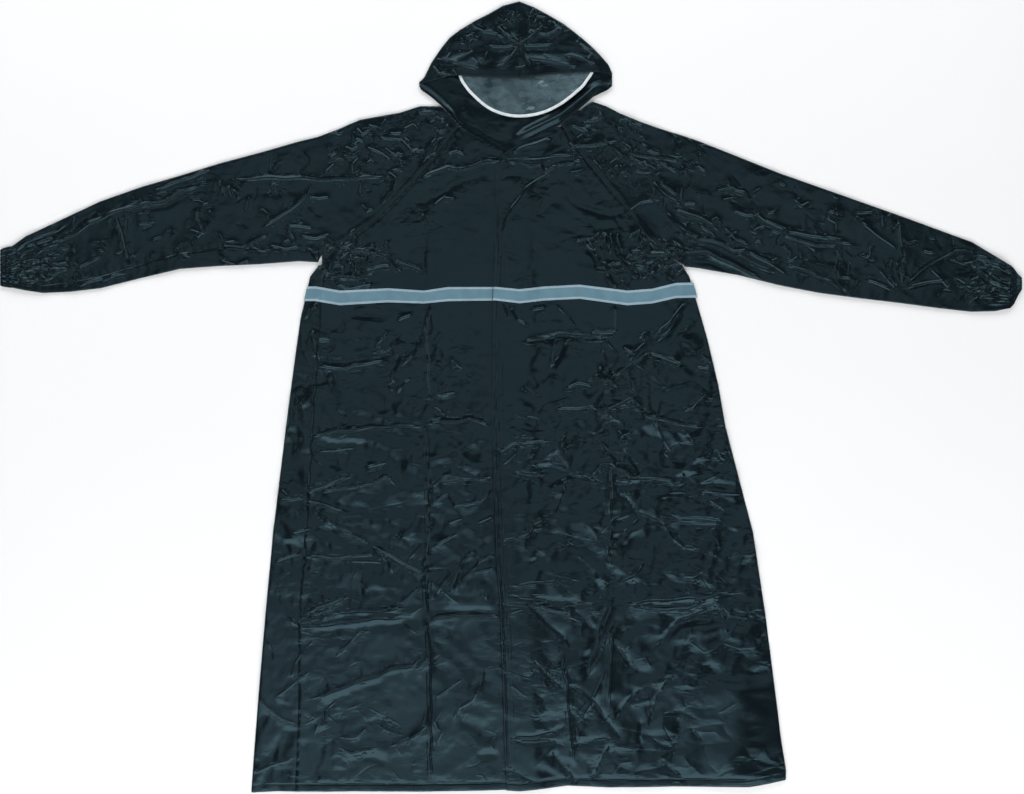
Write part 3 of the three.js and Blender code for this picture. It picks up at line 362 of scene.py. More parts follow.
    ("crisp", 5, 1.8, 175, -143, 209, -138, 240, -139, 270, -141, 279, -147, 304, -147),
    ("crisp", 4, -1.8, 292, -129, 304, -147, 316, -172),
    ("soft", 6, -1.8, 264, -150, 316, -152, 393, -150),
    ("crisp", 4, 1.2, 264, -163, 332, -161, 393, -166),
    ("crisp", 4, -1.6, 87, -141, 93, -159, 78, -196),
    ("soft", 8, 2.2, 165, -134, 167, -160),
    ("crisp", 5, -2.6, 185, -163, 197, -175, 212, -196, 231, -202, 261, -218),
    ("crisp", 5, 2, 154, -230, 178, -205, 206, -196),
    ("lip", 5, 2.6, 261, -218, 279, -239, 295, -254, 316, -257),
    ("crisp", 4, 1.5, 261, -218, 292, -214, 347, -216, 365, -214),
    ("crisp", 4, 1.5, 270, -196, 289, -207, 325, -204, 365, -211),
    ("crisp", 4, 1.4, 338, -175, 365, -193),
    ("lip", 6, 2.2, 59, -208, 41, -218, 32, -233, 10, -239, -17, -245),
    ("soft", 14, 2.2, 75, -235, 92, -219, 121, -209, 156, -223),
    ("crisp", 3.5, 1.2, 129, -214, 148, -242),
    ("crisp", 5, -2, 172, -257, 185, -236, 197, -224),
    # skirt, right
    ("crisp", 6, -2.8, 114, -274, 131, -298, 141, -311, 162, -342),
    ("crisp", 5, -2, 182, -298, 177, -318, 165, -342),
    ("crisp", 5, 2.2, 226, -284, 209, -304, 182, -318),
    ("crisp", 4, 1.6, 168, -243, 168, -264, 167, -287),
    ("crisp", 4, 1.4, 182, -243, 172, -264),
    ("soft", 12, -3.2, 165, -342, 155, -379, 148, -413, 138, -447, 128, -495),
    ("crisp", 5, 2.6, 175, -345, 162, -382, 153, -416, 138, -461),
    ("crisp", 4, 2, 175, -386, 165, -406, 151, -434, 134, -474),
    ("crisp", 6, -2.8, 2, -337, 32, -343, 66, -347, 107, -350, 144, -352),
    ("crisp", 5, -2.8, -19, -352, 32, -355, 46, -369, 66, -389, 90, -410, 102, -428),
    ("crisp", 4, 1.6, 46, -355, 63, -362, 97, -369, 107, -360),
    ("crisp", 3.5, -1.6, 107, -360, 128, -379, 144, -403),
    ("lip", 7, 2, 2, -320, 39, -316, 100, -309, 114, -311),
    ("soft", 8, 1.8, 29, -299, 66, -298, 107, -298),
    ("soft", 9, -2, 29, -243, 22, -277, 5, -304),
    ("crisp", 5, 2.4, 199, -352, 226, -347, 264, -345, 304, -342, 328, -342, 355, -335, 382, -333),
    ("crisp", 4, 1.8, 199, -354, 230, -360, 264, -362, 301, -360, 328, -348, 355, -343),
    ("soft", 5, -1.8, 212, -352, 245, -354, 287, -352),
    ("crisp", 5, -2, 246, -427, 264, -406, 287, -379, 321, -367, 355, -360),
    ("soft", 7, -2.2, 243, -423, 270, -403, 287, -386, 321, -377, 372, -377, 427, -379),
    ("crisp", 4, 1.4, 362, -355, 372, -372, 403, -376),
    ("soft", 8, -2.6, 423, -406, 440, -420),
    ("soft", 14, 2, 253, -423, 274, -408, 304, -398, 355, -394, 406, -410, 430, -444),
    ("soft", 12, -2.2, 321, -447, 338, -461, 355, -478, 379, -481, 406, -478, 440, -461),
    ("soft", 8, -1.4, 304, -440, 332, -434),
    ("crisp", 5, -2, 182, -427, 196, -444, 209, -464),
    ("soft", 8, -1.8, 209, -468, 236, -468, 260, -450),
    ("soft", 11, -2.2, 185, -379, 212, -382, 189, -410),
    ("crisp", 6, -2.8, 280, -474, 264, -484, 253, -508, 243, -532, 236, -556),
    ("crisp", 5, 1.6, 240, -488, 280, -474),
    ("crisp", 5, -2.4, 175, -546, 202, -515, 223, -495),
    ("crisp", 4, 1.4, 202, -522, 236, -515),
    ("crisp", 6, -3, 99, -493, 124, -502, 141, -518, 155, -539, 172, -563, 189, -590),
    ("crisp", 4, 2, 162, -464, 148, -495, 134, -522, 117, -549),
    ("crisp", 3.5, 1.5, 110, -539, 131, -518),
    ("crisp", 3.5, 1.5, 114, -552, 128, -532),
    ("crisp", 5, 1.8, 90, -434, 88, -461, 95, -488, 99, -539, 104, -583, 107, -629),
    ("crisp", 4, 1.6, 70, -464, 94, -461, 131, -447),
    ("crisp", 4, -1.8, 42, -450, 60, -471, 76, -488, 90, -495),
    ("crisp", 5, -2.2, -15, -464, 8, -471, 32, -478, 46, -464),
    ("crisp", 4, 1.2, -2, -488, 26, -508),
    ("soft", 9, -1.2, -2, -515, 32, -513, 66, -517),
    ("soft", 9, -1.4, -2, -552, 49, -552, 97, -552),
    ("crisp", 5, -2.6, 2, -580, 32, -578, 76, -571, 90, -559),
    ("crisp", 4, -2, 8, -586, 66, -585, 90, -593),
    ("crisp", 5, -2.2, 110, -592, 141, -585, 168, -580),
    ("crisp", 4, 1.6, 172, -586, 182, -593, 219, -598),
    ("crisp", 6, -2.8, 168, -592, 155, -620, 138, -651),
    ("crisp", 6, -2.6, 70, -604, 87, -624, 114, -661),
    ("crisp", 4, 1.4, 46, -624, 70, -597),
    ("crisp", 5, -1.8, -12, -634, 15, -644, 46, -658),
    ("crisp", 4, -1.4, 221, -549, 219, -576, 226, -597),
    ("crisp", 4, -1.4, 236, -576, 257, -593, 277, -598),
    ("crisp", 4, -2.2, 287, -542, 286, -570, 279, -604, 270, -624),
    ("crisp", 4, -1.4, 260, -539, 287, -536, 314, -546),
    ("crisp", 4, -1.6, 308, -566, 325, -583),
    ("crisp", 4, -1.4, 257, -617, 277, -638),
    ("crisp", 4, 1.2, 355, -536, 379, -522),
    # smooth corner at the lower right
    ("soft", 42, 4.6, 400, -468, 389, -515, 382, -583, 376, -672),
    # chest
    ("lip", 8, 3, -17, 400, -49, 397, -71, 390, -92, 384, -107, 389, -122, 384, -150, 371),
    ("soft", 9, -1.3, -178, 324, -136, 337, -101, 358, -71, 371, -28, 382),
    ("crisp", 5, 0.9, -133, 324, -114, 338, -92, 337),
    ("crisp", 4, 1.2, -152, 311, -144, 299),
    ("soft", 5, -1.5, -142, 294, -148, 264, -150, 233, -146, 190),
    ("lip", 9, 2.6, 68, 436, 50, 431, 29, 425, 3, 412),
    ("crisp", 5, 1, 5, 403, 59, 408, 115, 414),
    ("lip", 5, 2.4, 113, 398, 81, 393, 59, 384, 50, 394, 33, 390, 16, 397, -8, 398),
    ("crisp", 4, 0.9, 98, 381, 126, 386),
    ("crisp", 5, 1.7, 76, 384, 50, 373, 25, 354, 3, 324, -14, 289, -21, 272),
    ("soft", 8, -1, 5, 388, 20, 359, 1, 318),
    ("soft", 5, -1.2, -3, 286, 3, 268, -1, 233),
    ("soft", 6, -1.4, 98, 339, 115, 324, 141, 315, 171, 309, 197, 315),
    ("soft", 4, -0.9, 175, 309, 188, 287),
    ("crisp", 5, 1, -228, 250, -189, 230, -146, 216),
    # left armpit
    ("lip", 7, 3.4, -281, 257, -298, 241, -308, 230, -314, 206),
    ("lip", 6, 2.6, -247, 203, -262, 224, -277, 246),
    ("crisp", 5, 3, -308, 201, -288, 204, -270, 204, -253, 203),
    ("lip", 6, 3, -224, 243, -248, 246, -274, 252),
    ("crisp", 5, 1.8, -274, 252, -265, 236, -258, 226),
    ("crisp", 5, 1.6, -250, 216, -214, 224, -204, 223),
    ("crisp", 4, 1.2, -211, 253, -204, 233, -184, 212),
    ("crisp", 5, 1.4, -213, 264, -207, 246),
    ("crisp", 5, 1.6, -298, 194, -274, 182, -236, 192),
    # right armpit
    ("lip", 7, 3.6, 274, 240, 253, 243, 228, 240, 194, 233),
    ("soft", 6, -2, 194, 230, 228, 230, 267, 230),
    ("lip", 6, 3, 201, 272, 218, 284, 234, 262),
    ("crisp", 4, 1.4, 219, 274, 220, 255),
    ("soft", 5, -1.8, 210, 216, 233, 209, 257, 202),
    ("lip", 6, 3, 214, 202, 202, 219, 190, 233),
    ("crisp", 5, 2.2, 163, 209, 178, 187),
    ("crisp", 5, 2.2, 187, 199, 201, 184),
    ("soft", 5, -2, 129, 255, 143, 238, 156, 220),
    ("crisp", 5, 2, 112, 265, 127, 269, 138, 258),
    ("crisp", 3.5, 1.5, 148, 274, 153, 258, 158, 245),
    ("crisp", 3.5, 1.7, 158, 277, 162, 260, 170, 243),
    ("crisp", 3.5, 1.6, 168, 279, 173, 262, 180, 246),
    ("crisp", 3.5, 1.4, 180, 279, 185, 262, 189, 246),
    ("crisp", 6, 2, 245, 230, 267, 219, 294, 230),
    ("crisp", 5, 1.6, 151, 230, 172, 223, 189, 230),
]
SLEEVE_CREASES = [
    # left shoulder and upper sleeve
    ("lip", 7, 2.2, -211, 376, -236, 372, -265, 371, -308, 368, -354, 371, -423, 371, -471, 369),
    ("soft", 8, -1.2, -462, 371, -422, 380, -364, 385),
    ("soft", 8, -1, -466, 348, -410, 348, -354, 351),
    ("lip", 6, 1.8, -211, 384, -196, 371, -200, 350, -222, 328),
    ("soft", 5, -2, -146, 447, -142, 436, -150, 414, -150, 397),
    ("crisp", 5, 1.6, -226, 442, -187, 436, -170, 421, -157, 406),
    ("crisp", 5, 1.4, -245, 425, -222, 414, -202, 401),
    ("crisp", 5, 1.5, -222, 453, -211, 474),
    ("crisp", 4, 1.6, -131, 479, -114, 468),
    ("crisp", 6, 1.8, -157, 483, -125, 483),
    ("crisp", 4, 1.3, -254, 328, -245, 315, -233, 320),
    ("crisp", 4, 1.2, -275, 276, -265, 285),
    ("crisp", 5, 1.6, -262, 457, -253, 447, -240, 454),
    ("crisp", 5, 1.4, -282, 427, -270, 420, -257, 427),
    # left sleeve
    ("lip", 7, 2.2, -525, 362, -573, 344, -591, 333, -648, 321, -685, 309, -716, 294, -738, 279, -782, 257),
    ("soft", 6, -1.6, -525, 352, -570, 335, -588, 325, -648, 313),
    ("lip", 6, 1.6, -507, 385, -530, 380, -557, 369, -607, 351),
    ("crisp", 4, 1.6, -531, 321, -533, 303, -523, 282),
    ("crisp", 4, 1.2, -514, 317, -503, 303),
    ("crisp", 3.5, 1.6, -496, 367, -493, 357),
    ("crisp", 3.5, 1.7, -489, 360, -487, 344),
    ("crisp", 3.5, 1.7, -480, 360, -475, 339),
    ("crisp", 3.5, 1.5, -473, 353, -462, 339),
    ("crisp", 5, 1.8, -421, 290, -376, 317, -346, 344, -337, 367),
    ("crisp", 5, 1.2, -347, 342, -328, 337, -308, 339),
    ("crisp", 4, 1.4, -380, 285, -367, 262),
    ("crisp", 5, 1.5, -380, 290, -359, 291, -337, 287),
    ("crisp", 5, 1.5, -358, 274, -330, 269, -308, 276),
    ("lip", 5, 2.4, -491, 257, -456, 253, -432, 267, -413, 274),
    ("crisp", 4, 1.6, -448, 258, -432, 250, -414, 249),
    ("crisp", 5, 1.6, -494, 231, -466, 224, -444, 231),
    ("lip", 5, 2.2, -344, 253, -335, 246, -330, 235),
    ("crisp", 5, 1.6, -410, 258, -384, 250, -359, 257),
    # left sleeve end
    ("soft", 7, -1.8, -826, 255, -784, 277, -741, 296, -697, 316),
    ("lip", 6, 1.8, -753, 296, -771, 282, -796, 275, -843, 253),
    ("crisp", 4, 1.7, -670, 308, -664, 289, -658, 267, -646, 224),
    ("crisp", 6, 1.2, -738, 187, -707, 199, -673, 207, -653, 211),
    ("crisp", 4, 1, -741, 216, -716, 230, -693, 241),
    ("soft", 7, -2.4, -746, 255, -760, 240, -765, 216),
    ("crisp", 4, 1.8, -801, 236, -784, 226, -770, 206),
    ("crisp", 4, 1.5, -835, 230, -811, 219, -787, 196),
    # right shoulder and upper sleeve
    ("soft", 5, -2, 115, 453, 130, 470, 154, 490),
    ("soft", 5, -1.5, 124, 440, 138, 447, 151, 455),
    ("crisp", 5, 1.8, 98, 434, 104, 425, 137, 427, 182, 434),
    ("soft", 4, -1.4, 186, 477, 180, 457),
    ("lip", 5, 2, 287, 400, 244, 406, 199, 412),
    ("crisp", 4, 1.3, 171, 427, 180, 416, 192, 406),
    ("crisp", 4, 1.5, 201, 410, 211, 403, 223, 395),
    ("crisp", 4, 1.5, 223, 401, 236, 393, 248, 384),
    ("crisp", 4, 1.6, 244, 406, 264, 393, 283, 380),
    ("crisp", 4, 1.2, 210, 386, 224, 382, 240, 382),
    ("soft", 4, -1.2, 175, 380, 180, 358),
    ("lip", 5, 2.2, 240, 367, 250, 355, 265, 341, 287, 328),
    ("crisp", 4, 1.7, 248, 371, 267, 354, 287, 337),
    ("crisp", 5, 1.4, 199, 315, 223, 330, 248, 337),
    ("crisp", 3, 0.9, 261, 289, 272, 292),
    # underarm strip that shows below the right armpit
    ("lip", 4, 2.6, 274, 243, 294, 245, 334, 246, 359, 233, 389, 219, 423, 202),
    ("soft", 4.5, -1.8, 304, 233, 340, 228, 362, 219, 391, 207, 416, 199),
    # right sleeve
    ("lip", 5, 2.2, 264, 315, 279, 295, 302, 278, 326, 268),
    ("crisp", 5, 1.8, 282, 278, 324, 268, 359, 260, 379, 248, 399, 248),
    ("lip", 5, 2, 279, 320, 319, 305, 344, 292, 354, 283),
    ("crisp", 4, 1.4, 321, 292, 335, 282, 348, 270),
    ("crisp", 4, 1.8, 361, 287, 384, 268, 404, 260),
    ("crisp", 4, 1.5, 366, 278, 374, 258),
    ("crisp", 5, 1.6, 369, 330, 381, 315, 399, 308, 416, 308),
    ("crisp", 5, 1.6, 416, 315, 434, 298, 469, 285),
    ("crisp", 4, 1.3, 411, 281, 423, 287, 436, 291),
    ("crisp", 4, 1.2, 439, 283, 459, 278, 449, 258),
    ("lip", 5, 2, 556, 255, 518, 258, 489, 265, 461, 276),
    ("crisp", 5, 1.2, 461, 281, 518, 273, 588, 258),
    ("lip", 6, 2.4, 379, 243, 399, 235, 426, 220, 449, 211),
    ("crisp", 4, 1.6, 401, 248, 434, 230, 469, 210),
    ("lip", 6, 2, 469, 225, 518, 208, 543, 196, 568, 178),
    ("crisp", 4, 1.4, 553, 322, 553, 308),
    ("soft", 4, -1.6, 555, 303, 558, 280),
    ("lip", 5, 2.4, 556, 253, 551, 223, 556, 200, 571, 178),
    ("soft", 3.5, -1, 506, 309, 506, 285),
    ("crisp", 6, 1.4, 593, 298, 627, 274, 658, 250),
    # right sleeve end
    ("lip", 5, 2.2, 658, 299, 663, 255, 668, 241, 660, 216, 664, 189),
    ("lip", 6, 2.6, 779, 248, 756, 246, 728, 231, 697, 214, 673, 190),
    ("crisp", 4, 1.5, 673, 186, 714, 196, 742, 199),
    ("soft", 5, -2.6, 756, 209, 779, 216, 826, 219),
    ("crisp", 4, 1.2, 593, 238, 620, 233),
    ("crisp", 3.5, 1.5, 656, 187, 644, 209, 634, 230),
    ("crisp", 3.5, 1.4, 654, 185, 636, 206, 624, 219),
    ("crisp", 3.5, 1.3, 649, 182, 624, 192, 604, 199),
    ("crisp", 4, 1.6, 746, 236, 772, 226, 797, 230),
    ("crisp", 4, 1.6, 763, 189, 789, 182, 818, 192),
    ("crisp", 4, 1.5, 712, 219, 726, 206, 746, 185),
]
HOOD_CREASES = [
    # crown of the hood
    ("lip", 6, 1.8, 24, 578, 63, 570, 114, 559),
    ("crisp", 5, 1.5, -129, 576, -90, 566, -53, 556),
    ("crisp", 4, 1.6, 14, 598, -5, 610, -24, 631),
    ("crisp", 4, 1.6, 14, 598, 32, 612, 51, 629),
    ("crisp", 4, 1.5, 14, 598, -10, 595, -39, 597),
    ("crisp", 4, 1.5, 14, 598, 39, 597, 70, 600),
    ("crisp", 4, 1.4, 14, 598, 2, 581, -14, 563),
    ("crisp", 4, 1.4, 14, 598, 24, 583, 32, 563),
    ("crisp", 5, 1.4, -70, 634, -46, 620, -19, 617),
    ("crisp", 5, 1.4, 83, 627, 63, 617, 42, 617),
    ("soft", 8, 1.6, -100, 600, -76, 607, -49, 610),
    ("soft", 8, 1.6, 134, 590, 107, 597, 80, 600),
    ("crisp", 4, 1.2, -110, 563, -83, 576, -63, 590),
    ("crisp", 4, 1.2, 144, 563, 124, 573, 94, 580),
    ("crisp", 5, 1.5, -134, 563, -121, 549, -100, 546),
]

# %% The small creases that are strewn about
STREWN_COAT = [
    # count, along the line x0 y0 to x1 y1, half width, lean and swing in degrees, length, width, height
    (110, -330, 335, -790, 240, 80, 17, 55, 26, 3.2, 1.0),
    (80, -110, 470, -310, 390, 60, 25, 60, 22, 3.2, 1.1),
    (120, 300, 330, 800, 210, 80, -19, 55, 26, 3.2, 1.1),
    (110, 110, 470, 310, 370, 62, -35, 55, 24, 3.2, 1.2),
    (30, -335, 240, -235, 222, 32, 40, 60, 24, 3.8, 2.0),
    (38, 135, 240, 290, 238, 32, -30, 60, 25, 4.0, 2.3),
    (50, -770, 240, -850, 222, 34, 8, 22, 24, 3.0, 1.5),
    (50, 770, 206, 850, 192, 38, -12, 22, 24, 3.0, 1.5),
    (60, -230, 120, -260, -640, 160, 20, 60, 48, 4.5, 0.5),
    (80, 180, 120, 220, -640, 190, -20, 60, 48, 4.5, 0.6),
    (36, -400, -600, 440, -600, 60, 80, 35, 30, 4.5, 0.5),
]
STREWN_HOOD = [
    (70, -120, 590, 140, 596, 44, 70, 60, 18, 3.0, 0.9),
    (30, -20, 630, 60, 640, 26, 90, 60, 16, 3.0, 1.1),
]
STREWN_INSIDE = [(80, -130, 510, 120, 500, 46, 30, 60, 20, 3.0, 0.9)]
STREWN_BACK = [(150, -260, 60, -260, -640, 150, 40, 80, 60, 5.0, 0.6), (150, 240, 60, 240, -640, 170, 50, 80, 60, 5.0, 0.6)]


CALM_FROM, CALM_BELOW = 285.0, -470.0


def strewn(seed, rows):
    chance = np.random.default_rng(seed)
    made = []
    for count, x0, y0, x1, y1, half, lean, swing, length, width, height in rows:
        span = math.hypot(x1 - x0, y1 - y0)
        for _ in range(count):
            share, aside = chance.uniform(0, 1), chance.uniform(-half, half)
            x = x0 + (x1 - x0) * share - (y1 - y0) / span * aside
            y = y0 + (y1 - y0) * share + (x1 - x0) / span * aside
            turn = math.radians(lean + swing * chance.normal())
            reach = length * chance.uniform(0.5, 1.4) / 2
            bow = reach * chance.normal() * 0.3
            dx, dy = math.cos(turn) * reach, math.sin(turn) * reach
            kind = "lip" if chance.uniform() < 0.35 else "crisp"
            tall = height * chance.uniform(0.4, 1.3) * (-0.7 if chance.uniform() < 0.3 else 1.0)
            slim = width * chance.uniform(0.8, 1.5)
            path = (x - dx, y - dy, x - dy / reach * bow, y + dx / reach * bow, x + dx, y + dy)
            if x < CALM_FROM or y > CALM_BELOW:
                made.append((kind, slim, tall, *path))
    return made


def pressed(height, xs, ys):
    """A stitched line draws the cloth in along its whole length."""
    return ("crisp", 2.2, height, *np.stack([xs, ys], 1).ravel())


STITCHED = [
    pressed(-1.1, FLY["x"][:-1] + 5.0, FLY["y"][:-1]),
    pressed(-0.8, FLY["x"][:-1] + 10.0, FLY["y"][:-1]),
    pressed(-1.1, HEM["x"], HEM["y"] + 12.0),
]
COAT_FOLDS = COAT_CREASES + SLEEVE_CREASES + STITCHED + strewn(11, STREWN_COAT)
HOOD_FOLDS = HOOD_CREASES + strewn(12, STREWN_HOOD)
INSIDE_FOLDS = strewn(13, STREWN_INSIDE)
BACK_FOLDS = strewn(14, STREWN_BACK)
print("creases on the coat's upper side:", len(COAT_FOLDS), "on the hood:", len(HOOD_FOLDS))

# %% What a crease does to the height of the cloth
LINE_REACH = 8.0


def from_path(x, y, path):
    """How far each point is from a broken line, on which side, and how far along it."""
    off = np.full(x.shape, 1e9)
    side, run, done = np.ones(x.shape), np.zeros(x.shape), 0.0
    for (ax, ay), (bx, by) in zip(path[:-1], path[1:]):
        dx, dy = bx - ax, by - ay
        length = math.hypot(dx, dy)
        share = np.clip(((x - ax) * dx + (y - ay) * dy) / length**2, 0.0, 1.0)
        ox, oy = x - ax - share * dx, y - ay - share * dy
        here = np.hypot(ox, oy)
        nearer = here < off
        off = np.where(nearer, here, off)
        side = np.where(nearer, np.where(dx * oy - dy * ox >= 0, 1.0, -1.0), side)
        run = np.where(nearer, done + share * length, run)
        done += length
    return off, side, run, done


def crease_section(kind, off, side, width):
    if kind == "soft":
        return np.exp(-((off / width) ** 2))
    if kind == "crisp":
        return np.exp(-(np.sqrt(off**2 + 1.2) - 1.1) / (0.8 * width))
    return np.where(side > 0, np.exp(-off / (1.6 * width)), np.exp(-((off / (0.5 * width)) ** 2)))


def creased(folds, x, y):
    total = np.zeros(x.shape)
    for k, (kind, width, height, *flat) in enumerate(folds):
        path = np.array(flat, float).reshape(-1, 2)
        reach = (8.0 if kind == "lip" else 5.0) * width
        low, high = path.min(0) - reach, path.max(0) + reach
        near = (x > low[0]) & (x < high[0]) & (y > low[1]) & (y < high[1])
        if not near.any():
            continue
        off, side, run, whole = from_path(x[near], y[near], path)
        drift = drift_of(k, off, side, run, width)
        off, side = np.abs(drift), np.where(drift >= 0, 1.0, -1.0)
        ends = fade_of(run, whole)
        uneven = 1.0 + 0.28 * np.sin(run / 21.0 + 2.3 * k)
        total[near] += height * ends * uneven * crease_section(kind, off, side, width)
    return total


def drift_of(k, off, side, run, width):
    """A crease wanders a little off its line."""
    return off * side + 0.14 * width * np.sin(run / 9.0 + 1.7 * k)


def fade_of(run, whole):
    return smooth(0.25 + run / (0.22 * whole)) * smooth(0.25 + (whole - run) / (0.22 * whole))


def crease_lines(folds, x, y):
    """The sharpest part of a crease is narrower than a cell of the grid, so its line is left to the finish: each
    point keeps its distance from the strongest sharp crease near it, and how strongly that one is drawn."""
    off, draw = np.full(x.shape, LINE_REACH), np.zeros(x.shape)
    for k, (kind, width, height, *flat) in enumerate(folds):
        path = np.array(flat, float).reshape(-1, 2)
        low, high = path.min(0) - LINE_REACH, path.max(0) + LINE_REACH
        near = (x > low[0]) & (x < high[0]) & (y > low[1]) & (y < high[1])
        if kind == "soft" or not near.any():
            continue
        away, side, run, whole = from_path(x[near], y[near], path)
        away = drift_of(k, away, side, run, width)
        strength = np.clip(height / 2.4, -1.0, 1.0) * fade_of(run, whole) * smooth((LINE_REACH - np.abs(away)) / 4.0)
        stronger = np.abs(strength) > np.abs(draw[near])
        off[near] = np.where(stronger, away, off[near])
        draw[near] = np.where(stronger, strength, draw[near])
    return off, draw


def line_marks(folds, grid, on_top):
    off, draw = crease_lines(folds, grid[..., 0], grid[..., 1])
    return {"crease_off": off, "crease_draw": draw * on_top}

# %% [markdown]
# ## Seams press the cloth together
# Along a seam the layers are sewn flat, so the cloth dips into a narrow groove there. Beside it the seam
# allowance is felled to one side, which shows as a low band, and the thread draws both sides into small
# puckers. All of it is added to the same height as the creases, so neighbouring panels always agree.

# %% Seam lines and their relief
def line_of(table, x_name, y_name="y", rows=None):
    points = np.stack([table[x_name], table[y_name]], 1)
    return points if rows is None else points[rows]


SEAM_LINES = [
    # line, side that the allowance is felled to, width of the band
    (line_of(RAGLAN, "left"), 1.0, 9.0),
    (line_of(RAGLAN, "right"), -1.0, 9.0),
    (line_of(BODY, "seam"), -1.0, 7.0),
    (np.stack([-SLEEVES[-1]["out"][6:], SLEEVES[-1]["seam"][6:]], 1), 1.0, 6.0),
]


def seam_relief(x, y):
    total = np.zeros(x.shape)
    for path, felled, band in SEAM_LINES:
        low, high = path.min(0) - 24.0, path.max(0) + 24.0
        near = (x > low[0]) & (x < high[0]) & (y > low[1]) & (y < high[1])
        if not near.any():
            continue
        off, side, run, whole = from_path(x[near], y[near], path)
        groove = -0.8 * np.exp(-((off / 1.8) ** 2))
        raised = 0.55 * (side == felled) * (1.0 - smooth((off - band) / 2.5))
        pucker = 0.3 * np.sin(run * 0.42 + 2.0 * np.sin(run / 27.0)) * np.exp(-((off / 9.0) ** 2))
        total[near] += groove + raised + pucker
    return total

# %% Heights of the layers
CLOTH = 0.45
FLOOR_MID = 0.5
TOP_MID = 4.4
FLY_LIFT = 4.2
UNDERLAP = 46.0
CLEAR_BELOW, HIGHEST_RIDGE = 0.6, 7.0
TAPE_RAISE = 1.1
SNAPS = [np.array(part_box(f"snap_{k}")).mean(0) / MM for k in range(1, 7)]


def lattice(x, y, seed):
    """Smooth noise between -1 and 1 with one knot to each unit of x and of y."""
    knots = np.random.default_rng(seed).uniform(-1.0, 1.0, (64, 64))
    i, j = np.floor(x).astype(int), np.floor(y).astype(int)
    u, v = smooth(x - i), smooth(y - j)
    low = knots[i % 64, j % 64] * (1 - u) + knots[(i + 1) % 64, j % 64] * u
    high = knots[i % 64, (j + 1) % 64] * (1 - u) + knots[(i + 1) % 64, (j + 1) % 64] * u
    return low * (1 - v) + high * v


CRUMPLES = columns(
    "seed long wide lean height",
    (21, 95, 46, 25, 2.1), (22, 70, 36, -40, 1.8), (23, 42, 22, 80, 1.3), (24, 26, 14, -15, 1.1), (25, 16, 10, 50, 0.7),
)
# how crumpled the cloth is, from the hem up and across
CRUMPLED = columns("y amount", (-673, 0.75), (-420, 0.8), (-330, 1.3), (-60, 1.6), (60, 1.0), (150, 0.5), (240, 0.35), (540, 0.5))


def crumple(x, y):
    """Broad facets that meet in edges, as a crushed sheet has once it is spread out again."""
    total = np.zeros(np.shape(x))
    for seed, long, wide, lean, height in zip(*CRUMPLES.values()):
        cos, sin = math.cos(math.radians(lean)), math.sin(math.radians(lean))
        along, across = (x * cos + y * sin) / long, (y * cos - x * sin) / wide
        bend = 0.6 * lattice(along * 0.7, across * 0.4, int(seed) + 40)
        total += height * (0.35 - np.abs(lattice(along + bend, across + bend, int(seed))))
    calm = smooth((x - CALM_FROM + 20.0) / 60.0) * smooth((CALM_BELOW + 30.0 - y) / 70.0)
    return total * read(CRUMPLED, "y", "amount", y) * (1.0 - 0.95 * calm)


def swell(x, y):
    return (
        0.45 * np.sin(x / 41 + y / 67) + 0.4 * np.sin(y / 53 - x / 89)
        + 0.25 * np.sin(x / 23 - y / 31 + 1.0) + 0.16 * np.sin(y / 17 + x / 29 + 2.0)
    )


def upper(x, y):
    """Middle of the coat's upper layer."""
    from_fly = np.abs(x - read(FLY, "y", "x", y) - UNDERLAP / 2)
    free = np.where(y > 416, 1.0, smooth((from_fly - UNDERLAP / 2) / 24))
    height = (0.55 + 0.45 * free) * (creased(COAT_FOLDS, x, y) + crumple(x, y) + swell(x, y)) + seam_relief(x, y)
    height = np.minimum(height, HIGHEST_RIDGE - 3.4 * (1.0 - free))
    height = np.maximum(TOP_MID + height, under(x, y) + CLEAR_BELOW)
    for sx, sy, sz in SNAPS:
        held = 1.0 - smooth((np.hypot(x - sx, y - sy) - 9.0) / 14.0)
        height = height + (sz - FLY_LIFT / 2 - height) * held
    return height


def under(x, y):
    """Middle of the back where it lies on the surface, lifted where the tape lies below it."""
    top, bottom = read(TAPE, "x", "top", x), read(TAPE, "x", "bottom", x)
    taped = smooth((y - bottom + 9) / 7) * smooth((top + 9 - y) / 7) * (np.abs(x) < 372)
    return FLOOR_MID + TAPE_RAISE * taped + np.clip(creased(BACK_FOLDS, x, y), 0.0, 0.6)


def between(x, y, share, lift=0.0):
    """Height of a point that lies share of the way from the back up to the upper layer."""
    low = under(x, y)
    return low + (upper(x, y) - low) * share + lift

print("snaps at, mm:", [[round(float(v), 1) for v in centre] for centre in SNAPS])

# %% [markdown]
# ## A sheet of cloth
# A panel is a grid of points, some 3 to 4 mm apart, that runs round the folded edges without a break. The
# grid is thickened to both sides of its own slope into a closed shell of about half a millimetre, with a rim
# where the panel ends. A simulation could crease the cloth too, but not where the real coat is creased.

# %% Thicken a grid into a thin shell
def slopes(grid, turned=False):
    across, along = np.gradient(grid, axis=1), np.gradient(grid, axis=0)
    normal = np.cross(across, along)
    normal /= np.maximum(np.linalg.norm(normal, axis=2, keepdims=True), 1e-9)
    return -normal if turned else normal


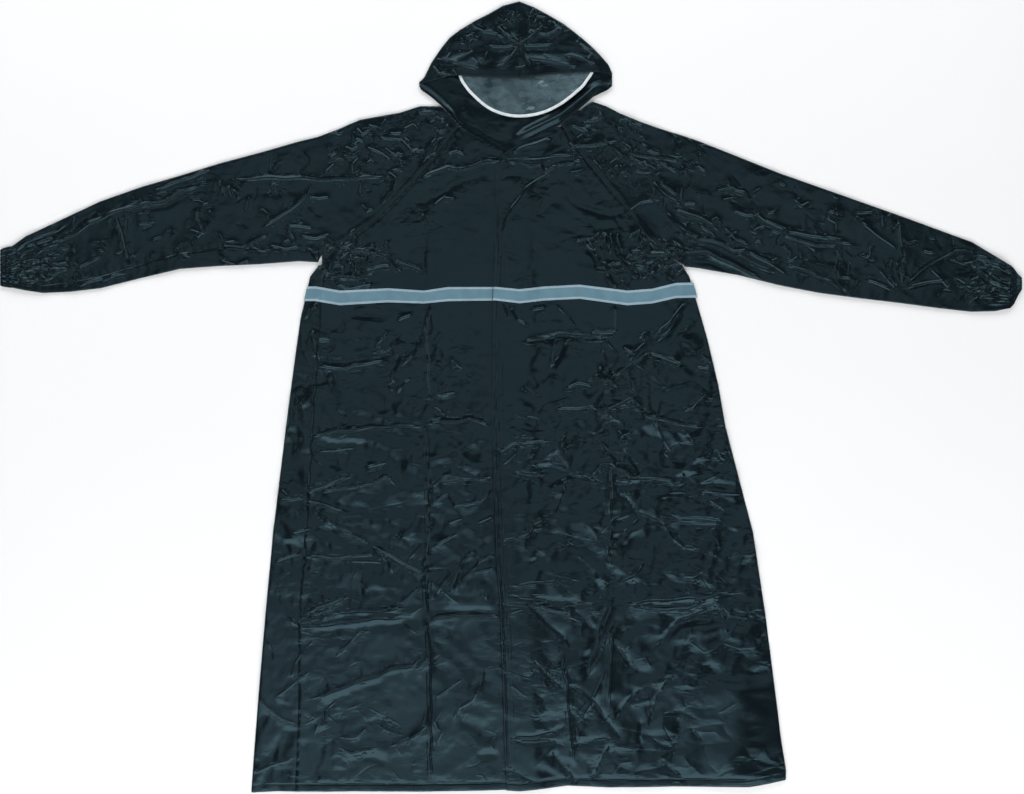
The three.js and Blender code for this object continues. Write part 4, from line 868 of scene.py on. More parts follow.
def thin_shell(grid, wall=CLOTH, keep=None, ring=False, turned=False, out=0.0):
    """Points and quads of a closed sheet whose middle is the grid, moved out along its slope."""
    normal = slopes(grid, turned)
    if ring:
        wide = np.concatenate([grid[:, -2:], grid, grid[:, :2]], 1)
        normal = slopes(wide, turned)[:, 2:-2]
    points = np.concatenate([
        (grid + normal * (out + wall / 2)).reshape(-1, 3),
        (grid + normal * (out - wall / 2)).reshape(-1, 3),
    ])
    rows, cols = grid.shape[:2]
    half = rows * cols
    index = np.arange(half).reshape(rows, cols)
    if ring:
        index = np.concatenate([index, index[:, :1]], 1)
    if keep is None:
        keep = np.ones((rows - 1, index.shape[1] - 1), bool)
    a, b, c, d = index[:-1, :-1], index[:-1, 1:], index[1:, 1:], index[1:, :-1]
    outer = np.stack([a, b, c, d], 2)[keep]
    quads = [outer, outer[:, ::-1] + half]
    padded = np.pad(keep, 1)
    if ring:
        padded[1:-1, 0], padded[1:-1, -1] = keep[:, -1], keep[:, 0]
    beside = [
        (a, b, padded[:-2, 1:-1]), (b, c, padded[1:-1, 2:]),
        (c, d, padded[2:, 1:-1]), (d, a, padded[1:-1, :-2]),
    ]
    for first, second, neighbour in beside:
        rim = keep & ~neighbour
        p, q = first[rim], second[rim]
        quads.append(np.stack([q, p, p + half, q + half], 1))
    quads = np.concatenate(quads)
    if turned:
        quads = quads[:, ::-1]
    used, quads = np.unique(quads, return_inverse=True)
    return points[used], quads.reshape(-1, 4), used % half

# %% Make one piece of the coat
def add_mesh(name, points, faces, finish, marks=None):
    mesh = bpy.data.meshes.new(name)
    mesh.from_pydata((points * MM).tolist(), [], faces.tolist())
    mesh.polygons.foreach_set("use_smooth", np.ones(len(faces), bool))
    for mark, values in (marks or {}).items():
        mesh.attributes.new(mark, "FLOAT", "POINT").data.foreach_set("value", values.astype(np.float32))
    mesh.set_sharp_from_angle(angle=math.radians(62))
    mesh.materials.append(finish)
    piece = bpy.data.objects.new(name, mesh)
    bpy.context.collection.objects.link(piece)
    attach(piece, "root")
    return piece


def add_cloth(name, grid, finish, stands_for, slot, marks=None, **shell):
    points, faces, source = thin_shell(grid, **shell)
    spread = {key: value.reshape(-1)[source] for key, value in (marks or {}).items()}
    piece = add_mesh(name, points, faces, finish, spread)
    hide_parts(stands_for)
    print(name, "triangles:", 2 * len(faces), "height, mm:", np.round(points[:, 2].min(), 2), np.round(points[:, 2].max(), 2))
    return piece

# %% [markdown]
# ## Finishes
# The cloth is nylon with a thin glossy coating: nearly black, with a cool sheen that slides over the creases.
# Its colour and gloss vary a little from place to place, a fine plain weave shows through the coating, and
# crinkles too small to model are left to bump. The tape is grey and full of tiny glass beads, the visor is a
# frosted clear film, its binding a white woven strip, and the snaps are dull nickel.

# %% Helpers for node finishes
def new_finish(name):
    finish = bpy.data.materials.new(name)
    finish.use_nodes = True
    nodes, links = finish.node_tree.nodes, finish.node_tree.links
    return finish, nodes, links, nodes["Principled BSDF"]


def noise(nodes, links, scale, detail=3.0, kind="FBM", rough=0.5):
    place = nodes.new("ShaderNodeTexCoord")
    grain = nodes.new("ShaderNodeTexNoise")
    grain.noise_type = kind
    grain.inputs["Scale"].default_value = scale
    grain.inputs["Detail"].default_value = detail
    grain.inputs["Roughness"].default_value = rough
    links.new(place.outputs["Object"], grain.inputs["Vector"])
    return grain.outputs["Fac"]


def shade_between(nodes, links, amount, dark, light, socket, low=0.35, high=0.65):
    ramp = nodes.new("ShaderNodeValToRGB")
    ramp.color_ramp.elements[0].position, ramp.color_ramp.elements[0].color = low, (*dark, 1.0)
    ramp.color_ramp.elements[1].position, ramp.color_ramp.elements[1].color = high, (*light, 1.0)
    links.new(amount, ramp.inputs["Fac"])
    links.new(ramp.outputs["Color"], socket)


def range_between(nodes, links, amount, low, high, socket):
    span = nodes.new("ShaderNodeMapRange")
    span.inputs["From Min"].default_value = 0.3
    span.inputs["From Max"].default_value = 0.7
    span.inputs["To Min"].default_value = low
    span.inputs["To Max"].default_value = high
    links.new(amount, span.inputs["Value"])
    links.new(span.outputs["Result"], socket)


def weave(nodes, links, threads_per_metre):
    """A plain weave: two sets of fine waves, of which the higher one shows."""
    place = nodes.new("ShaderNodeTexCoord")
    sets = []
    for direction in ("X", "Y"):
        waves = nodes.new("ShaderNodeTexWave")
        waves.bands_direction = direction
        waves.inputs["Scale"].default_value = threads_per_metre * 0.314
        waves.inputs["Distortion"].default_value = 0.4
        links.new(place.outputs["Object"], waves.inputs["Vector"])
        sets.append(waves.outputs["Fac"])
    higher = nodes.new("ShaderNodeMath")
    higher.operation = "MAXIMUM"
    links.new(sets[0], higher.inputs[0])
    links.new(sets[1], higher.inputs[1])
    return higher.outputs["Value"]


def relief(nodes, links, amount, strength, depth, before=None):
    bump = nodes.new("ShaderNodeBump")
    bump.inputs["Strength"].default_value = strength
    bump.inputs["Distance"].default_value = depth
    links.new(amount, bump.inputs["Height"])
    if before is not None:
        links.new(before, bump.inputs["Normal"])
    return bump.outputs["Normal"]

# %% Coated nylon
def facets(nodes, links, scale, lean, stretch, wander):
    """Flat little facets that meet in sharp edges, as crushed foil has: distance to a broken-up cell's border."""
    place = nodes.new("ShaderNodeTexCoord")
    lay = nodes.new("ShaderNodeMapping")
    lay.inputs["Rotation"].default_value = (0.0, 0.0, math.radians(lean))
    lay.inputs["Scale"].default_value = (1.0, stretch, 1.0)
    links.new(place.outputs["Object"], lay.inputs["Vector"])
    drift = nodes.new("ShaderNodeTexNoise")
    drift.inputs["Scale"].default_value = scale * 0.7
    drift.inputs["Detail"].default_value = 2.0
    links.new(lay.outputs["Vector"], drift.inputs["Vector"])
    push = nodes.new("ShaderNodeVectorMath")
    push.operation = "MULTIPLY_ADD"
    push.inputs[1].default_value = (wander / scale, wander / scale, wander / scale)
    links.new(drift.outputs["Color"], push.inputs[0])
    links.new(lay.outputs["Vector"], push.inputs[2])
    cells = nodes.new("ShaderNodeTexVoronoi")
    cells.feature = "DISTANCE_TO_EDGE"
    cells.inputs["Scale"].default_value = scale
    links.new(push.outputs["Vector"], cells.inputs["Vector"])
    return cells.outputs["Distance"]


def in_patches(nodes, links, amount, scale):
    """Leaves the facets only in some places, as the cloth is smooth between its crumpled parts."""
    patch = nodes.new("ShaderNodeMapRange")
    patch.inputs["From Min"].default_value = 0.44
    patch.inputs["From Max"].default_value = 0.66
    links.new(noise(nodes, links, scale, 2.0), patch.inputs["Value"])
    both = nodes.new("ShaderNodeMath")
    both.operation = "MULTIPLY"
    links.new(amount, both.inputs[0])
    links.new(patch.outputs["Result"], both.inputs[1])
    return both.outputs["Value"]


def crease_line(nodes, links, before):
    """Draws the sharp line of each placed crease from the distances that the sheet keeps at its points."""
    off, draw = nodes.new("ShaderNodeAttribute"), nodes.new("ShaderNodeAttribute")
    off.attribute_name, draw.attribute_name = "crease_off", "crease_draw"
    away = nodes.new("ShaderNodeMath")
    away.operation = "ABSOLUTE"
    links.new(off.outputs["Fac"], away.inputs[0])
    section = nodes.new("ShaderNodeMapRange")
    section.interpolation_type = "SMOOTHSTEP"
    section.inputs["From Max"].default_value = 2.6
    section.inputs["To Min"].default_value = 1.0
    section.inputs["To Max"].default_value = 0.0
    links.new(away.outputs["Value"], section.inputs["Value"])
    tall = nodes.new("ShaderNodeMath")
    tall.operation = "MULTIPLY"
    links.new(section.outputs["Result"], tall.inputs[0])
    links.new(draw.outputs["Fac"], tall.inputs[1])
    return relief(nodes, links, tall.outputs["Value"], 1.0, 0.0016, before)


def coated_nylon(name, crinkle, gloss):
    finish, nodes, links, shader = new_finish(name)
    shade_between(
        nodes, links, noise(nodes, links, 7.0, 4.0),
        (0.0021, 0.0041, 0.0058), (0.0034, 0.0064, 0.0088), shader.inputs["Base Color"],
    )
    range_between(nodes, links, noise(nodes, links, 38.0, 4.0), gloss - 0.04, gloss + 0.05, shader.inputs["Roughness"])
    shader.inputs["IOR"].default_value = 1.5
    shader.inputs["Specular IOR Level"].default_value = 0.37
    shader.inputs["Specular Tint"].default_value = (0.46, 0.83, 1.0, 1.0)
    fine = relief(nodes, links, weave(nodes, links, 1400.0), 0.10, 0.0002)
    small = relief(nodes, links, noise(nodes, links, 110.0, 3.0), 0.12, 0.0010, fine)
    branching = relief(
        nodes, links, noise(nodes, links, 21.0, 4.0, "RIDGED_MULTIFRACTAL"), 0.5 * crinkle, 0.0030, small)
    narrow = relief(
        nodes, links, in_patches(nodes, links, facets(nodes, links, 48.0, 35.0, 1.7, 1.1), 8.0), 0.6 * crinkle, 0.0030, branching)
    broad = relief(
        nodes, links, in_patches(nodes, links, facets(nodes, links, 15.0, -20.0, 1.6, 1.0), 4.0), crinkle, 0.0080, narrow)
    links.new(crease_line(nodes, links, broad), shader.inputs["Normal"])
    return finish


BODY_CLOTH = coated_nylon("body_nylon", 0.55, 0.16)
SLEEVE_CLOTH = coated_nylon("sleeve_nylon", 0.40, 0.19)
HOOD_CLOTH = coated_nylon("hood_nylon", 0.34, 0.22)

# %% Reflective tape
TAPE_GREY, EDGE_LINE = (0.125, 0.245, 0.31), (0.38, 0.52, 0.60)


def reflective_tape():
    finish, nodes, links, shader = new_finish("reflective_tape")
    place = nodes.new("ShaderNodeAttribute")
    place.attribute_name = "across"
    edges = nodes.new("ShaderNodeValToRGB")
    points = edges.color_ramp.elements
    points[0].position, points[0].color = 0.0, (0.30, 0.42, 0.50, 1.0)
    points[1].position, points[1].color = 1.0, (0.30, 0.42, 0.50, 1.0)
    for at, colour in ((0.12, EDGE_LINE), (0.17, TAPE_GREY), (0.83, TAPE_GREY), (0.88, EDGE_LINE)):
        point = points.new(at)
        point.color = (*colour, 1.0)
    links.new(place.outputs["Fac"], edges.inputs["Fac"])
    worn = nodes.new("ShaderNodeMix")
    worn.data_type = "RGBA"
    worn.blend_type = "MULTIPLY"
    worn.inputs["Factor"].default_value = 0.5
    links.new(edges.outputs["Color"], worn.inputs["A"])
    shade_between(
        nodes, links, noise(nodes, links, 60.0, 5.0), (0.72, 0.74, 0.76), (1.0, 1.0, 1.0), worn.inputs["B"])
    links.new(worn.outputs["Result"], shader.inputs["Base Color"])
    range_between(nodes, links, noise(nodes, links, 90.0), 0.34, 0.5, shader.inputs["Roughness"])
    shader.inputs["Metallic"].default_value = 0.15
    beads = relief(nodes, links, noise(nodes, links, 2600.0, 1.0), 0.25, 0.0002)
    links.new(relief(nodes, links, weave(nodes, links, 900.0), 0.12, 0.0002, beads), shader.inputs["Normal"])
    return finish


TAPE_FINISH = reflective_tape()

# %% Clear film, white binding, thread and snaps
def clear_film():
    finish, nodes, links, shader = new_finish("clear_film")
    shade_between(
        nodes, links, noise(nodes, links, 22.0, 4.0), (0.060, 0.115, 0.14), (0.27, 0.41, 0.47),
        shader.inputs["Base Color"])
    range_between(nodes, links, noise(nodes, links, 45.0), 0.10, 0.20, shader.inputs["Roughness"])
    shader.inputs["Transmission Weight"].default_value = 0.72
    shader.inputs["Specular Tint"].default_value = (0.70, 0.92, 1.0, 1.0)
    shader.inputs["IOR"].default_value = 1.5
    soft = relief(nodes, links, noise(nodes, links, 40.0, 4.0), 0.25, 0.002)
    creases = relief(nodes, links, facets(nodes, links, 26.0, 12.0, 0.8, 1.2), 1.0, 0.006, soft)
    links.new(creases, shader.inputs["Normal"])
    return finish


def woven(name, dark, light, rough, threads):
    finish, nodes, links, shader = new_finish(name)
    shade_between(nodes, links, noise(nodes, links, 140.0, 4.0), dark, light, shader.inputs["Base Color"])
    range_between(nodes, links, noise(nodes, links, 300.0), rough - 0.08, rough + 0.08, shader.inputs["Roughness"])
    links.new(relief(nodes, links, weave(nodes, links, threads), 0.4, 0.0003), shader.inputs["Normal"])
    return finish


def dull_nickel():
    finish, nodes, links, shader = new_finish("dull_nickel")
    shade_between(
        nodes, links, noise(nodes, links, 500.0), (0.34, 0.34, 0.33), (0.48, 0.48, 0.47), shader.inputs["Base Color"])
    range_between(nodes, links, noise(nodes, links, 900.0), 0.26, 0.42, shader.inputs["Roughness"])
    shader.inputs["Metallic"].default_value = 1.0
    links.new(relief(nodes, links, noise(nodes, links, 1500.0), 0.1, 0.0001), shader.inputs["Normal"])
    return finish


FILM = clear_film()
WHITE_STRIP = woven("white_strip", (0.62, 0.70, 0.74), (0.80, 0.86, 0.89), 0.55, 1100.0)
THREAD = woven("dark_thread", (0.0030, 0.0050, 0.0065), (0.007, 0.010, 0.012), 0.6, 4000.0)
NICKEL = dull_nickel()
for k in range(1, 7):
    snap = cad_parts[f"snap_{k}"]
    snap.material_slots[0].material = NICKEL
print("finishes:", len(bpy.data.materials))

# %% [markdown]
# ## The two fronts and the back
# Each panel is laid out row by row from the hem to the neck. A row starts at one seam, crosses the upper side,
# rounds the folded edge and ends below, as a hand smooths the cloth along. The hem and the fly's edge are
# turned under as on the real coat, so their edges are soft double folds and not cut ends.

# %% Rows and side edges of the body
SEAM = -0.3
EDGE_DEEP = 2.2
TURN_UNDER = 0.9
FACING = 34.0
HEM_ROWS = np.array([-661.0, -665.0, -669.0, -672.4, -673.0, -672.4])
HEM_DROP = np.array([1.0, 1.0, 1.0, 0.84, 0.5, 0.16]) * TURN_UNDER


def stops(start, *legs):
    """Numbers from start on, in legs of (end, step), each end being hit exactly."""
    made = [np.array([start])]
    for end, step in legs:
        cells = max(1, round(abs(end - start) / step))
        made.append(np.linspace(start, end, cells + 1)[1:])
        start = end
    return np.concatenate(made)


MAIN_ROWS = stops(-670.0, (-661.0, 3.0), (100.0, 4.4), (ARMPIT_Y, 3.3), (TOP_OF_FLY, 3.2), (418.0, 3.0), (NECK_ROW, 3.0))
BODY_ROWS = np.concatenate([HEM_ROWS, MAIN_ROWS])
BODY_DROP = np.concatenate([HEM_DROP, np.zeros(len(MAIN_ROWS))])
FOLD_TURNS = np.linspace(math.pi / 2, -math.pi / 2, 8)[1:-1]


def fly_edge(y, side):
    """Where the fly ends and, above it, the neck's edge: side -1 for the under front, +1 for the fly front."""
    if side < 0:
        x, height = NECK["x"][:6][::-1], NECK["y"][:6][::-1]
    else:
        x, height = NECK["x"][5:], NECK["y"][5:]
    neck = np.interp(y, height, x) + side * SEAM
    at_418 = np.interp(418.0, height, x) + side * SEAM
    rising = read(FLY, "y", "x", TOP_OF_FLY) + (at_418 - read(FLY, "y", "x", TOP_OF_FLY)) * (y - TOP_OF_FLY) / 18.0
    return np.where(y <= TOP_OF_FLY, read(FLY, "y", "x", y), np.where(y < 418.0, rising, neck))


def side_edge(y, seam_name, raglan_name):
    return np.where(y > ARMPIT_Y, read(RAGLAN, "y", raglan_name, y), read(BODY, "y", seam_name, y))


def fly_lift(x, y, lap_width=UNDERLAP):
    start = fly_edge(y, 1)
    return FLY_LIFT * (1.0 - smooth((x - start - lap_width) / 40.0))


def snap_marks(x, y):
    """The closed snaps press through the fly as low round marks."""
    total = np.zeros(x.shape)
    for centre in SNAPS:
        off = np.hypot(x - centre[0], y - centre[1])
        total += 0.32 * (1.0 - smooth((off - 6.0) / 3.5)) - 0.12 * np.exp(-(((off - 10.5) / 2.4) ** 2))
    return total


def spread_rows(first, last, cells):
    """From first to last in every row, both included."""
    share = np.linspace(0.0, 1.0, cells + 1)
    return first[:, None] + (last - first)[:, None] * share


def along_hem(x, y):
    """Near the hem the rows follow its line, which runs a little higher on the fly's side."""
    return y + (1.0 - smooth((y + 673.0) / 110.0)) * (read(HEM, "x", "y", x) + 673.0)


def turn_hem(grid, drop):
    """Moves the rows of the hem's inner layer in along the section's own slope."""
    run = np.gradient(grid, axis=1)
    slope = np.stack([-run[..., 2], np.zeros(run.shape[:2]), run[..., 0]], 2)
    slope /= np.maximum(np.linalg.norm(slope, axis=2, keepdims=True), 1e-9)
    return grid - slope * drop[:, None, None]


def tape_line(x, share):
    low, high = read(TAPE, "x", "bottom", x), read(TAPE, "x", "top", x)
    return low + (high - low) * share

# %% The fly front
FACE_CELLS, FLY_CELLS, TURNED_CELLS = 8, 122, 9
ON_TOP = 1.9


def fly_front_grid(rows, drop=None, tape_share=None):
    start, right = fly_edge(rows, 1), side_edge(rows, "right", "right")
    centre = right - CLOTH / 2 - EDGE_DEEP
    wraps = rows <= ARMPIT_Y
    end = np.where(wraps, centre, right - SEAM / 2)
    wide = end - start
    facing = np.minimum(FACING, 0.4 * wide)
    inside = spread_rows(start + 0.6 + facing, start + 0.6, FACE_CELLS)
    turn = start[:, None] + np.array([0.2, 0.0, 0.2])
    top = spread_rows(start + 0.6, end, FLY_CELLS)
    fold = centre[:, None] + EDGE_DEEP * np.cos(FOLD_TURNS)
    seam = right - read(BODY, "y", "turn", rows) + SEAM / 2
    below = spread_rows(centre, seam, TURNED_CELLS)
    x = np.concatenate([inside, turn, top, fold, below], 1)
    share = np.concatenate([
        np.ones(FACE_CELLS + 4 + FLY_CELLS + 1), (1 + np.sin(FOLD_TURNS)) / 2, np.zeros(TURNED_CELLS + 1)])
    tuck = np.zeros(x.shape[1])
    tuck[: FACE_CELLS + 1] = -TURN_UNDER
    tuck[FACE_CELLS + 1 : FACE_CELLS + 4] = np.array([-0.8, -0.5, -0.2]) * TURN_UNDER
    y = along_hem(x, rows[:, None]) if tape_share is None else tape_line(x, tape_share[:, None])
    lap = np.minimum(UNDERLAP, 0.5 * wide)[:, None]
    lift = fly_lift(x, y, lap) + snap_marks(x, y)
    z = between(x, y, share, share * lift + tuck)
    grid = np.stack([x, y, z], 2)
    return grid if drop is None else turn_hem(grid, drop)


def fly_front_cells(rows):
    """Which cells the panel has: the facing stops above the hem, the turned part below the armpit."""
    keep = np.ones((len(rows) - 1, FACE_CELLS + 4 + FLY_CELLS + len(FOLD_TURNS) + TURNED_CELLS + 1), bool)
    hem = len(HEM_ROWS) + 3
    keep[:hem, : FACE_CELLS + 1] = False
    keep[rows[1:] > ARMPIT_Y, FACE_CELLS + 4 + FLY_CELLS :] = False
    return keep


grid = fly_front_grid(BODY_ROWS, BODY_DROP)
FLY_FRONT = add_cloth(
    "fly_front", grid, BODY_CLOTH, "front_right", "cloth",
    line_marks(COAT_FOLDS, grid, grid[..., 2] > ON_TOP), keep=fly_front_cells(BODY_ROWS))

# %% The under front
UNDER_CELLS, LAP_CELLS = 90, 9


def under_front_grid(rows, drop=None, tape_share=None):
    start = side_edge(rows, "seam", "left") + SEAM / 2
    end = fly_edge(rows, -1)
    top, lap = spread_rows(start, end, UNDER_CELLS), spread_rows(end, end + UNDERLAP, LAP_CELLS)[:, 1:]
    x = np.concatenate([top, lap], 1)
    y = along_hem(x, rows[:, None]) if tape_share is None else tape_line(x, tape_share[:, None])
    grid = np.stack([x, y, upper(x, y)], 2)
    return grid if drop is None else turn_hem(grid, drop)


def under_front_cells(rows):
    keep = np.ones((len(rows) - 1, UNDER_CELLS + LAP_CELLS), bool)
    keep[rows[1:] > TOP_OF_FLY, UNDER_CELLS:] = False
    return keep


grid = under_front_grid(BODY_ROWS, BODY_DROP)
UNDER_FRONT = add_cloth(
    "under_front", grid, BODY_CLOTH, "front_left", "cloth",
    line_marks(COAT_FOLDS, grid, grid[..., 2] > ON_TOP), keep=under_front_cells(BODY_ROWS))

# %% The back
BACK_CELLS, OVER_CELLS = 72, 20


def back_grid(rows, drop=None, tape_share=None):
    left, right = side_edge(rows, "left", "left"), side_edge(rows, "right", "right")
    seam = side_edge(rows, "seam", "left") - SEAM / 2
    wraps = rows <= ARMPIT_Y
    centre = left + CLOTH / 2 + EDGE_DEEP
    start = np.where(wraps, right - read(BODY, "y", "turn", rows), right) - SEAM / 2
    end = np.where(wraps, centre, left + SEAM / 2)
    floor = spread_rows(start, end, BACK_CELLS)
    fold = centre[:, None] - EDGE_DEEP * np.cos(FOLD_TURNS)
    over = spread_rows(centre, seam, OVER_CELLS)
    x = np.concatenate([floor, fold, over], 1)
    share = np.concatenate([np.zeros(BACK_CELLS + 1), (1 - np.sin(FOLD_TURNS)) / 2, np.ones(OVER_CELLS + 1)])
    y = along_hem(x, rows[:, None]) if tape_share is None else tape_line(x, tape_share[:, None])
    grid = np.stack([x, y, between(x, y, share)], 2)
    return grid if drop is None else turn_hem(grid, drop)


def back_cells(rows):
    keep = np.ones((len(rows) - 1, BACK_CELLS + len(FOLD_TURNS) + OVER_CELLS + 1), bool)
    keep[rows[1:] > ARMPIT_Y, BACK_CELLS:] = False
    return keep


grid = back_grid(BODY_ROWS, BODY_DROP)
BACK = add_cloth(
    "back_panel", grid, BODY_CLOTH, "back", "cloth",
    line_marks(COAT_FOLDS, grid, grid[..., 2] > ON_TOP), keep=back_cells(BODY_ROWS))

# %% [markdown]
# ## Reflective tape
# The tape is a woven strip that is sewn round the chest before the side seams are closed. It is made from the
# same rows as the panel below it, squeezed between the tape's two edges, and moved out by the same amount
# everywhere, so it rides over every crease that the cloth has.

# %% Tape on the three panels
TAPE_WALL = 0.4
TAPE_OUT = 0.85
TAPE_SHARES = np.linspace(0.0, 1.0, 10)
TAPE_ROWS = 160.0 + 24.0 * TAPE_SHARES


def add_tape(name, grid, stands_for):
    across = np.broadcast_to(TAPE_SHARES[:, None], grid.shape[:2])
    return add_cloth(
        name, grid, TAPE_FINISH, stands_for, "tape", {"across": across}, wall=TAPE_WALL, out=TAPE_OUT)


fly_tape_grid = fly_front_grid(TAPE_ROWS, tape_share=TAPE_SHARES)[:, FACE_CELLS + 4 :]
TAPE_FLY = add_tape("tape_on_fly_front", fly_tape_grid, "tape_front_right")
TAPE_UNDER = add_tape(
    "tape_on_under_front", under_front_grid(TAPE_ROWS, tape_share=TAPE_SHARES)[:, : UNDER_CELLS + 4], "tape_front_left")
TAPE_BACK = add_tape("tape_on_back", back_grid(TAPE_ROWS, tape_share=TAPE_SHARES), "tape_back")

# %% [markdown]
# ## Raglan sleeves
# A raglan sleeve runs up to the neck in one piece. It is a flattened tube below the armpit and opens along
# the raglan seams above it. The left sleeve has rolled a little, so its underarm seam shows on the front; the
# right sleeve's lies on the underside.

# %% A sleeve's grid, section by section
TOP_RUN, LOW_RUN, WRAP_RUN = 58, 20, 8
CUFF_AT = 849.0


def gathers(side, x, y):
    """The elastic draws the sleeve's end into long narrow waves."""
    out = side * x
    near = smooth((out - 735.0) / 114.0) ** 1.5
    low, high = read(SLEEVES[side], "out", "bottom", out), read(SLEEVES[side], "out", "top", out)
    across = (y - low) / (high - low)
    waves = np.cos(2 * math.pi * 8.5 * across + 1.4 * np.sin(out / 15.0)) + 0.5 * np.sin(31.0 * across + out / 9.0)
    return near * (0.9 + 0.85 * waves)


def sleeve_grid(side):
    table = SLEEVES[side]
    tube = table["bottom"] > 0
    first = table["out"][tube][0]
    raglan = "left" if side < 0 else "right"
    raglan_out, raglan_y = side * RAGLAN[raglan][1:][::-1], RAGLAN["y"][1:][::-1]
    out = stops(raglan_out[0], (119.0, 3.4), (raglan_out[-1], 3.3), (first, 3.3), (CUFF_AT, 3.4))
    seam_out = np.concatenate([raglan_out, table["out"][tube]])
    seam = np.interp(out, seam_out, np.concatenate([raglan_y, table["seam"][tube]]))
    bottom = np.interp(out, table["out"][tube], table["bottom"][tube])
    neck = read(NECK, "x", "y", side * out) - 0.6
    at_neck, is_tube = out < 119.0, out >= first
    top = np.where(at_neck, neck, read(table, "out", "top", out))
    high, low = top - CLOTH / 2 - EDGE_DEEP, bottom + CLOTH / 2 + EDGE_DEEP
    opening = np.clip((out - raglan_out[-1]) / (first - raglan_out[-1]), 0.0, 1.0)
    towards_low = (seam + SEAM / 2) * (1 - opening) + low * opening
    top_end = np.where(at_neck, top, high)
    fold_up = high[:, None] + EDGE_DEEP * np.cos(FOLD_TURNS)
    fold_low = low[:, None] - EDGE_DEEP * np.cos(FOLD_TURNS)
    up_share, low_share = (1 + np.sin(FOLD_TURNS)) / 2, (1 - np.sin(FOLD_TURNS)) / 2
    if side < 0:
        parts = [
            spread_rows(seam + SEAM / 2, top_end, TOP_RUN), fold_up, spread_rows(top_end, towards_low, LOW_RUN),
            fold_low, spread_rows(low, seam - SEAM / 2, WRAP_RUN)]
        share = [np.ones(TOP_RUN + 1), up_share, np.zeros(LOW_RUN + 1), low_share, np.ones(WRAP_RUN + 1)]
        lead = 0
    else:
        parts = [
            spread_rows(seam - SEAM / 2, low, WRAP_RUN), fold_low, spread_rows(towards_low, top_end, TOP_RUN), fold_up,
            spread_rows(top_end, seam + SEAM / 2, LOW_RUN)]
        share = [np.zeros(WRAP_RUN + 1), low_share, np.ones(TOP_RUN + 1), up_share, np.zeros(LOW_RUN + 1)]
        lead = WRAP_RUN + len(FOLD_TURNS) + 1
    y, share = np.concatenate(parts, 1), np.concatenate(share)
    x = np.broadcast_to((side * out)[:, None], y.shape)
    z = between(x, y, share, share * gathers(side, x, y))
    keep = np.ones((len(out) - 1, y.shape[1] - 1), bool)
    folded = lead + TOP_RUN
    keep[at_neck[1:] | at_neck[:-1], folded : folded + len(FOLD_TURNS) + 1] = False
    open_below = ~(is_tube[1:] & is_tube[:-1])
    if side < 0:
        keep[open_below, folded + len(FOLD_TURNS) + 1 + LOW_RUN :] = False
    else:
        keep[open_below, :lead] = False
    return np.stack([x, y, z], 2), keep

# %% Both sleeves
for side, name, node in ((-1, "left_sleeve", "sleeve_left"), (1, "right_sleeve", "sleeve_right")):
    grid, keep = sleeve_grid(side)
    marks = line_marks(COAT_FOLDS, grid, grid[..., 2] > ON_TOP)
    add_cloth(name, grid, SLEEVE_CLOTH, node, "cloth", marks, keep=keep, turned=side > 0)

# %% [markdown]
# ## Elastic cuffs
# A cuff is a short casing that an elastic draws together. It is a flattened ring whose cloth stands in
# uneven waves, turned in at the mouth as a casing is.

# %% Casing rings
CUFF_WAVES = 19
CUFF_TALL = 2.1
CASING_DEPTH = 13.0


def cuff_height(turn, inward):
    flat = np.sign(np.sin(turn)) * np.abs(np.sin(turn)) ** 0.4
    drift = 0.5 * np.sin(3 * turn + 1.0)
    wave = 0.62 * np.cos(CUFF_WAVES * turn + drift) * np.abs(np.sin(turn)) ** 0.5
    tall = CUFF_TALL - inward
    return FLOOR_MID + CUFF_TALL + flat * tall + np.where(flat > 0, 1.0 * flat * (1 - inward / 3) + wave, 0.25 * np.abs(wave))


def cuff_grid(side):
    table = CUFFS[side]
    out = np.concatenate([np.linspace(849.5, 868.6, 12), [869.0], np.linspace(868.6, 869.0 - CASING_DEPTH, 8)])
    inward = np.concatenate([np.zeros(12), [0.45], np.full(8, 0.9)])
    turn = (2 * math.pi * (np.arange(152) + 0.5)) / 152
    low, high = read(table, "out", "bottom", out), read(table, "out", "top", out)
    reach = (high - low) / 2 - 0.7 - inward
    y = ((low + high) / 2)[:, None] + reach[:, None] * np.cos(turn) * (1 + 0.012 * np.cos(CUFF_WAVES * turn))
    x = side * np.broadcast_to(out[:, None], y.shape)
    squeeze = 1.0 + 0.10 * np.sin((out[:, None] - 849.5) / 19.0 * 3 * math.pi)
    z = FLOOR_MID + (cuff_height(turn[None, :], inward[:, None]) - FLOOR_MID) * squeeze
    return np.stack([x, y, np.maximum(z, FLOOR_MID)], 2)


for side, name, node in ((-1, "left_cuff", "cuff_left"), (1, "right_cuff", "cuff_right")):
    add_cloth(
        name, cuff_grid(side), SLEEVE_CLOTH, node, "cloth", ring=True, turned=side > 0, wall=0.4)

# %% [markdown]
# ## Hood
# The hood is two halves with a seam over the crown. It is folded forward over its own back, so a section from
# front to back is a hairpin: the brim, the crown, the fold at the top, and the back down to the neck. On the
# fly's side the face opening stands up in a crest.

# %% The hood's two layers
HOOD_SEAM_X = 14.0
CREST_HEIGHT, CREST_IN = 8.5, 15.0
CROWN_CELLS, NAPE_CELLS, BRIM_CELLS = 38, 66, 6


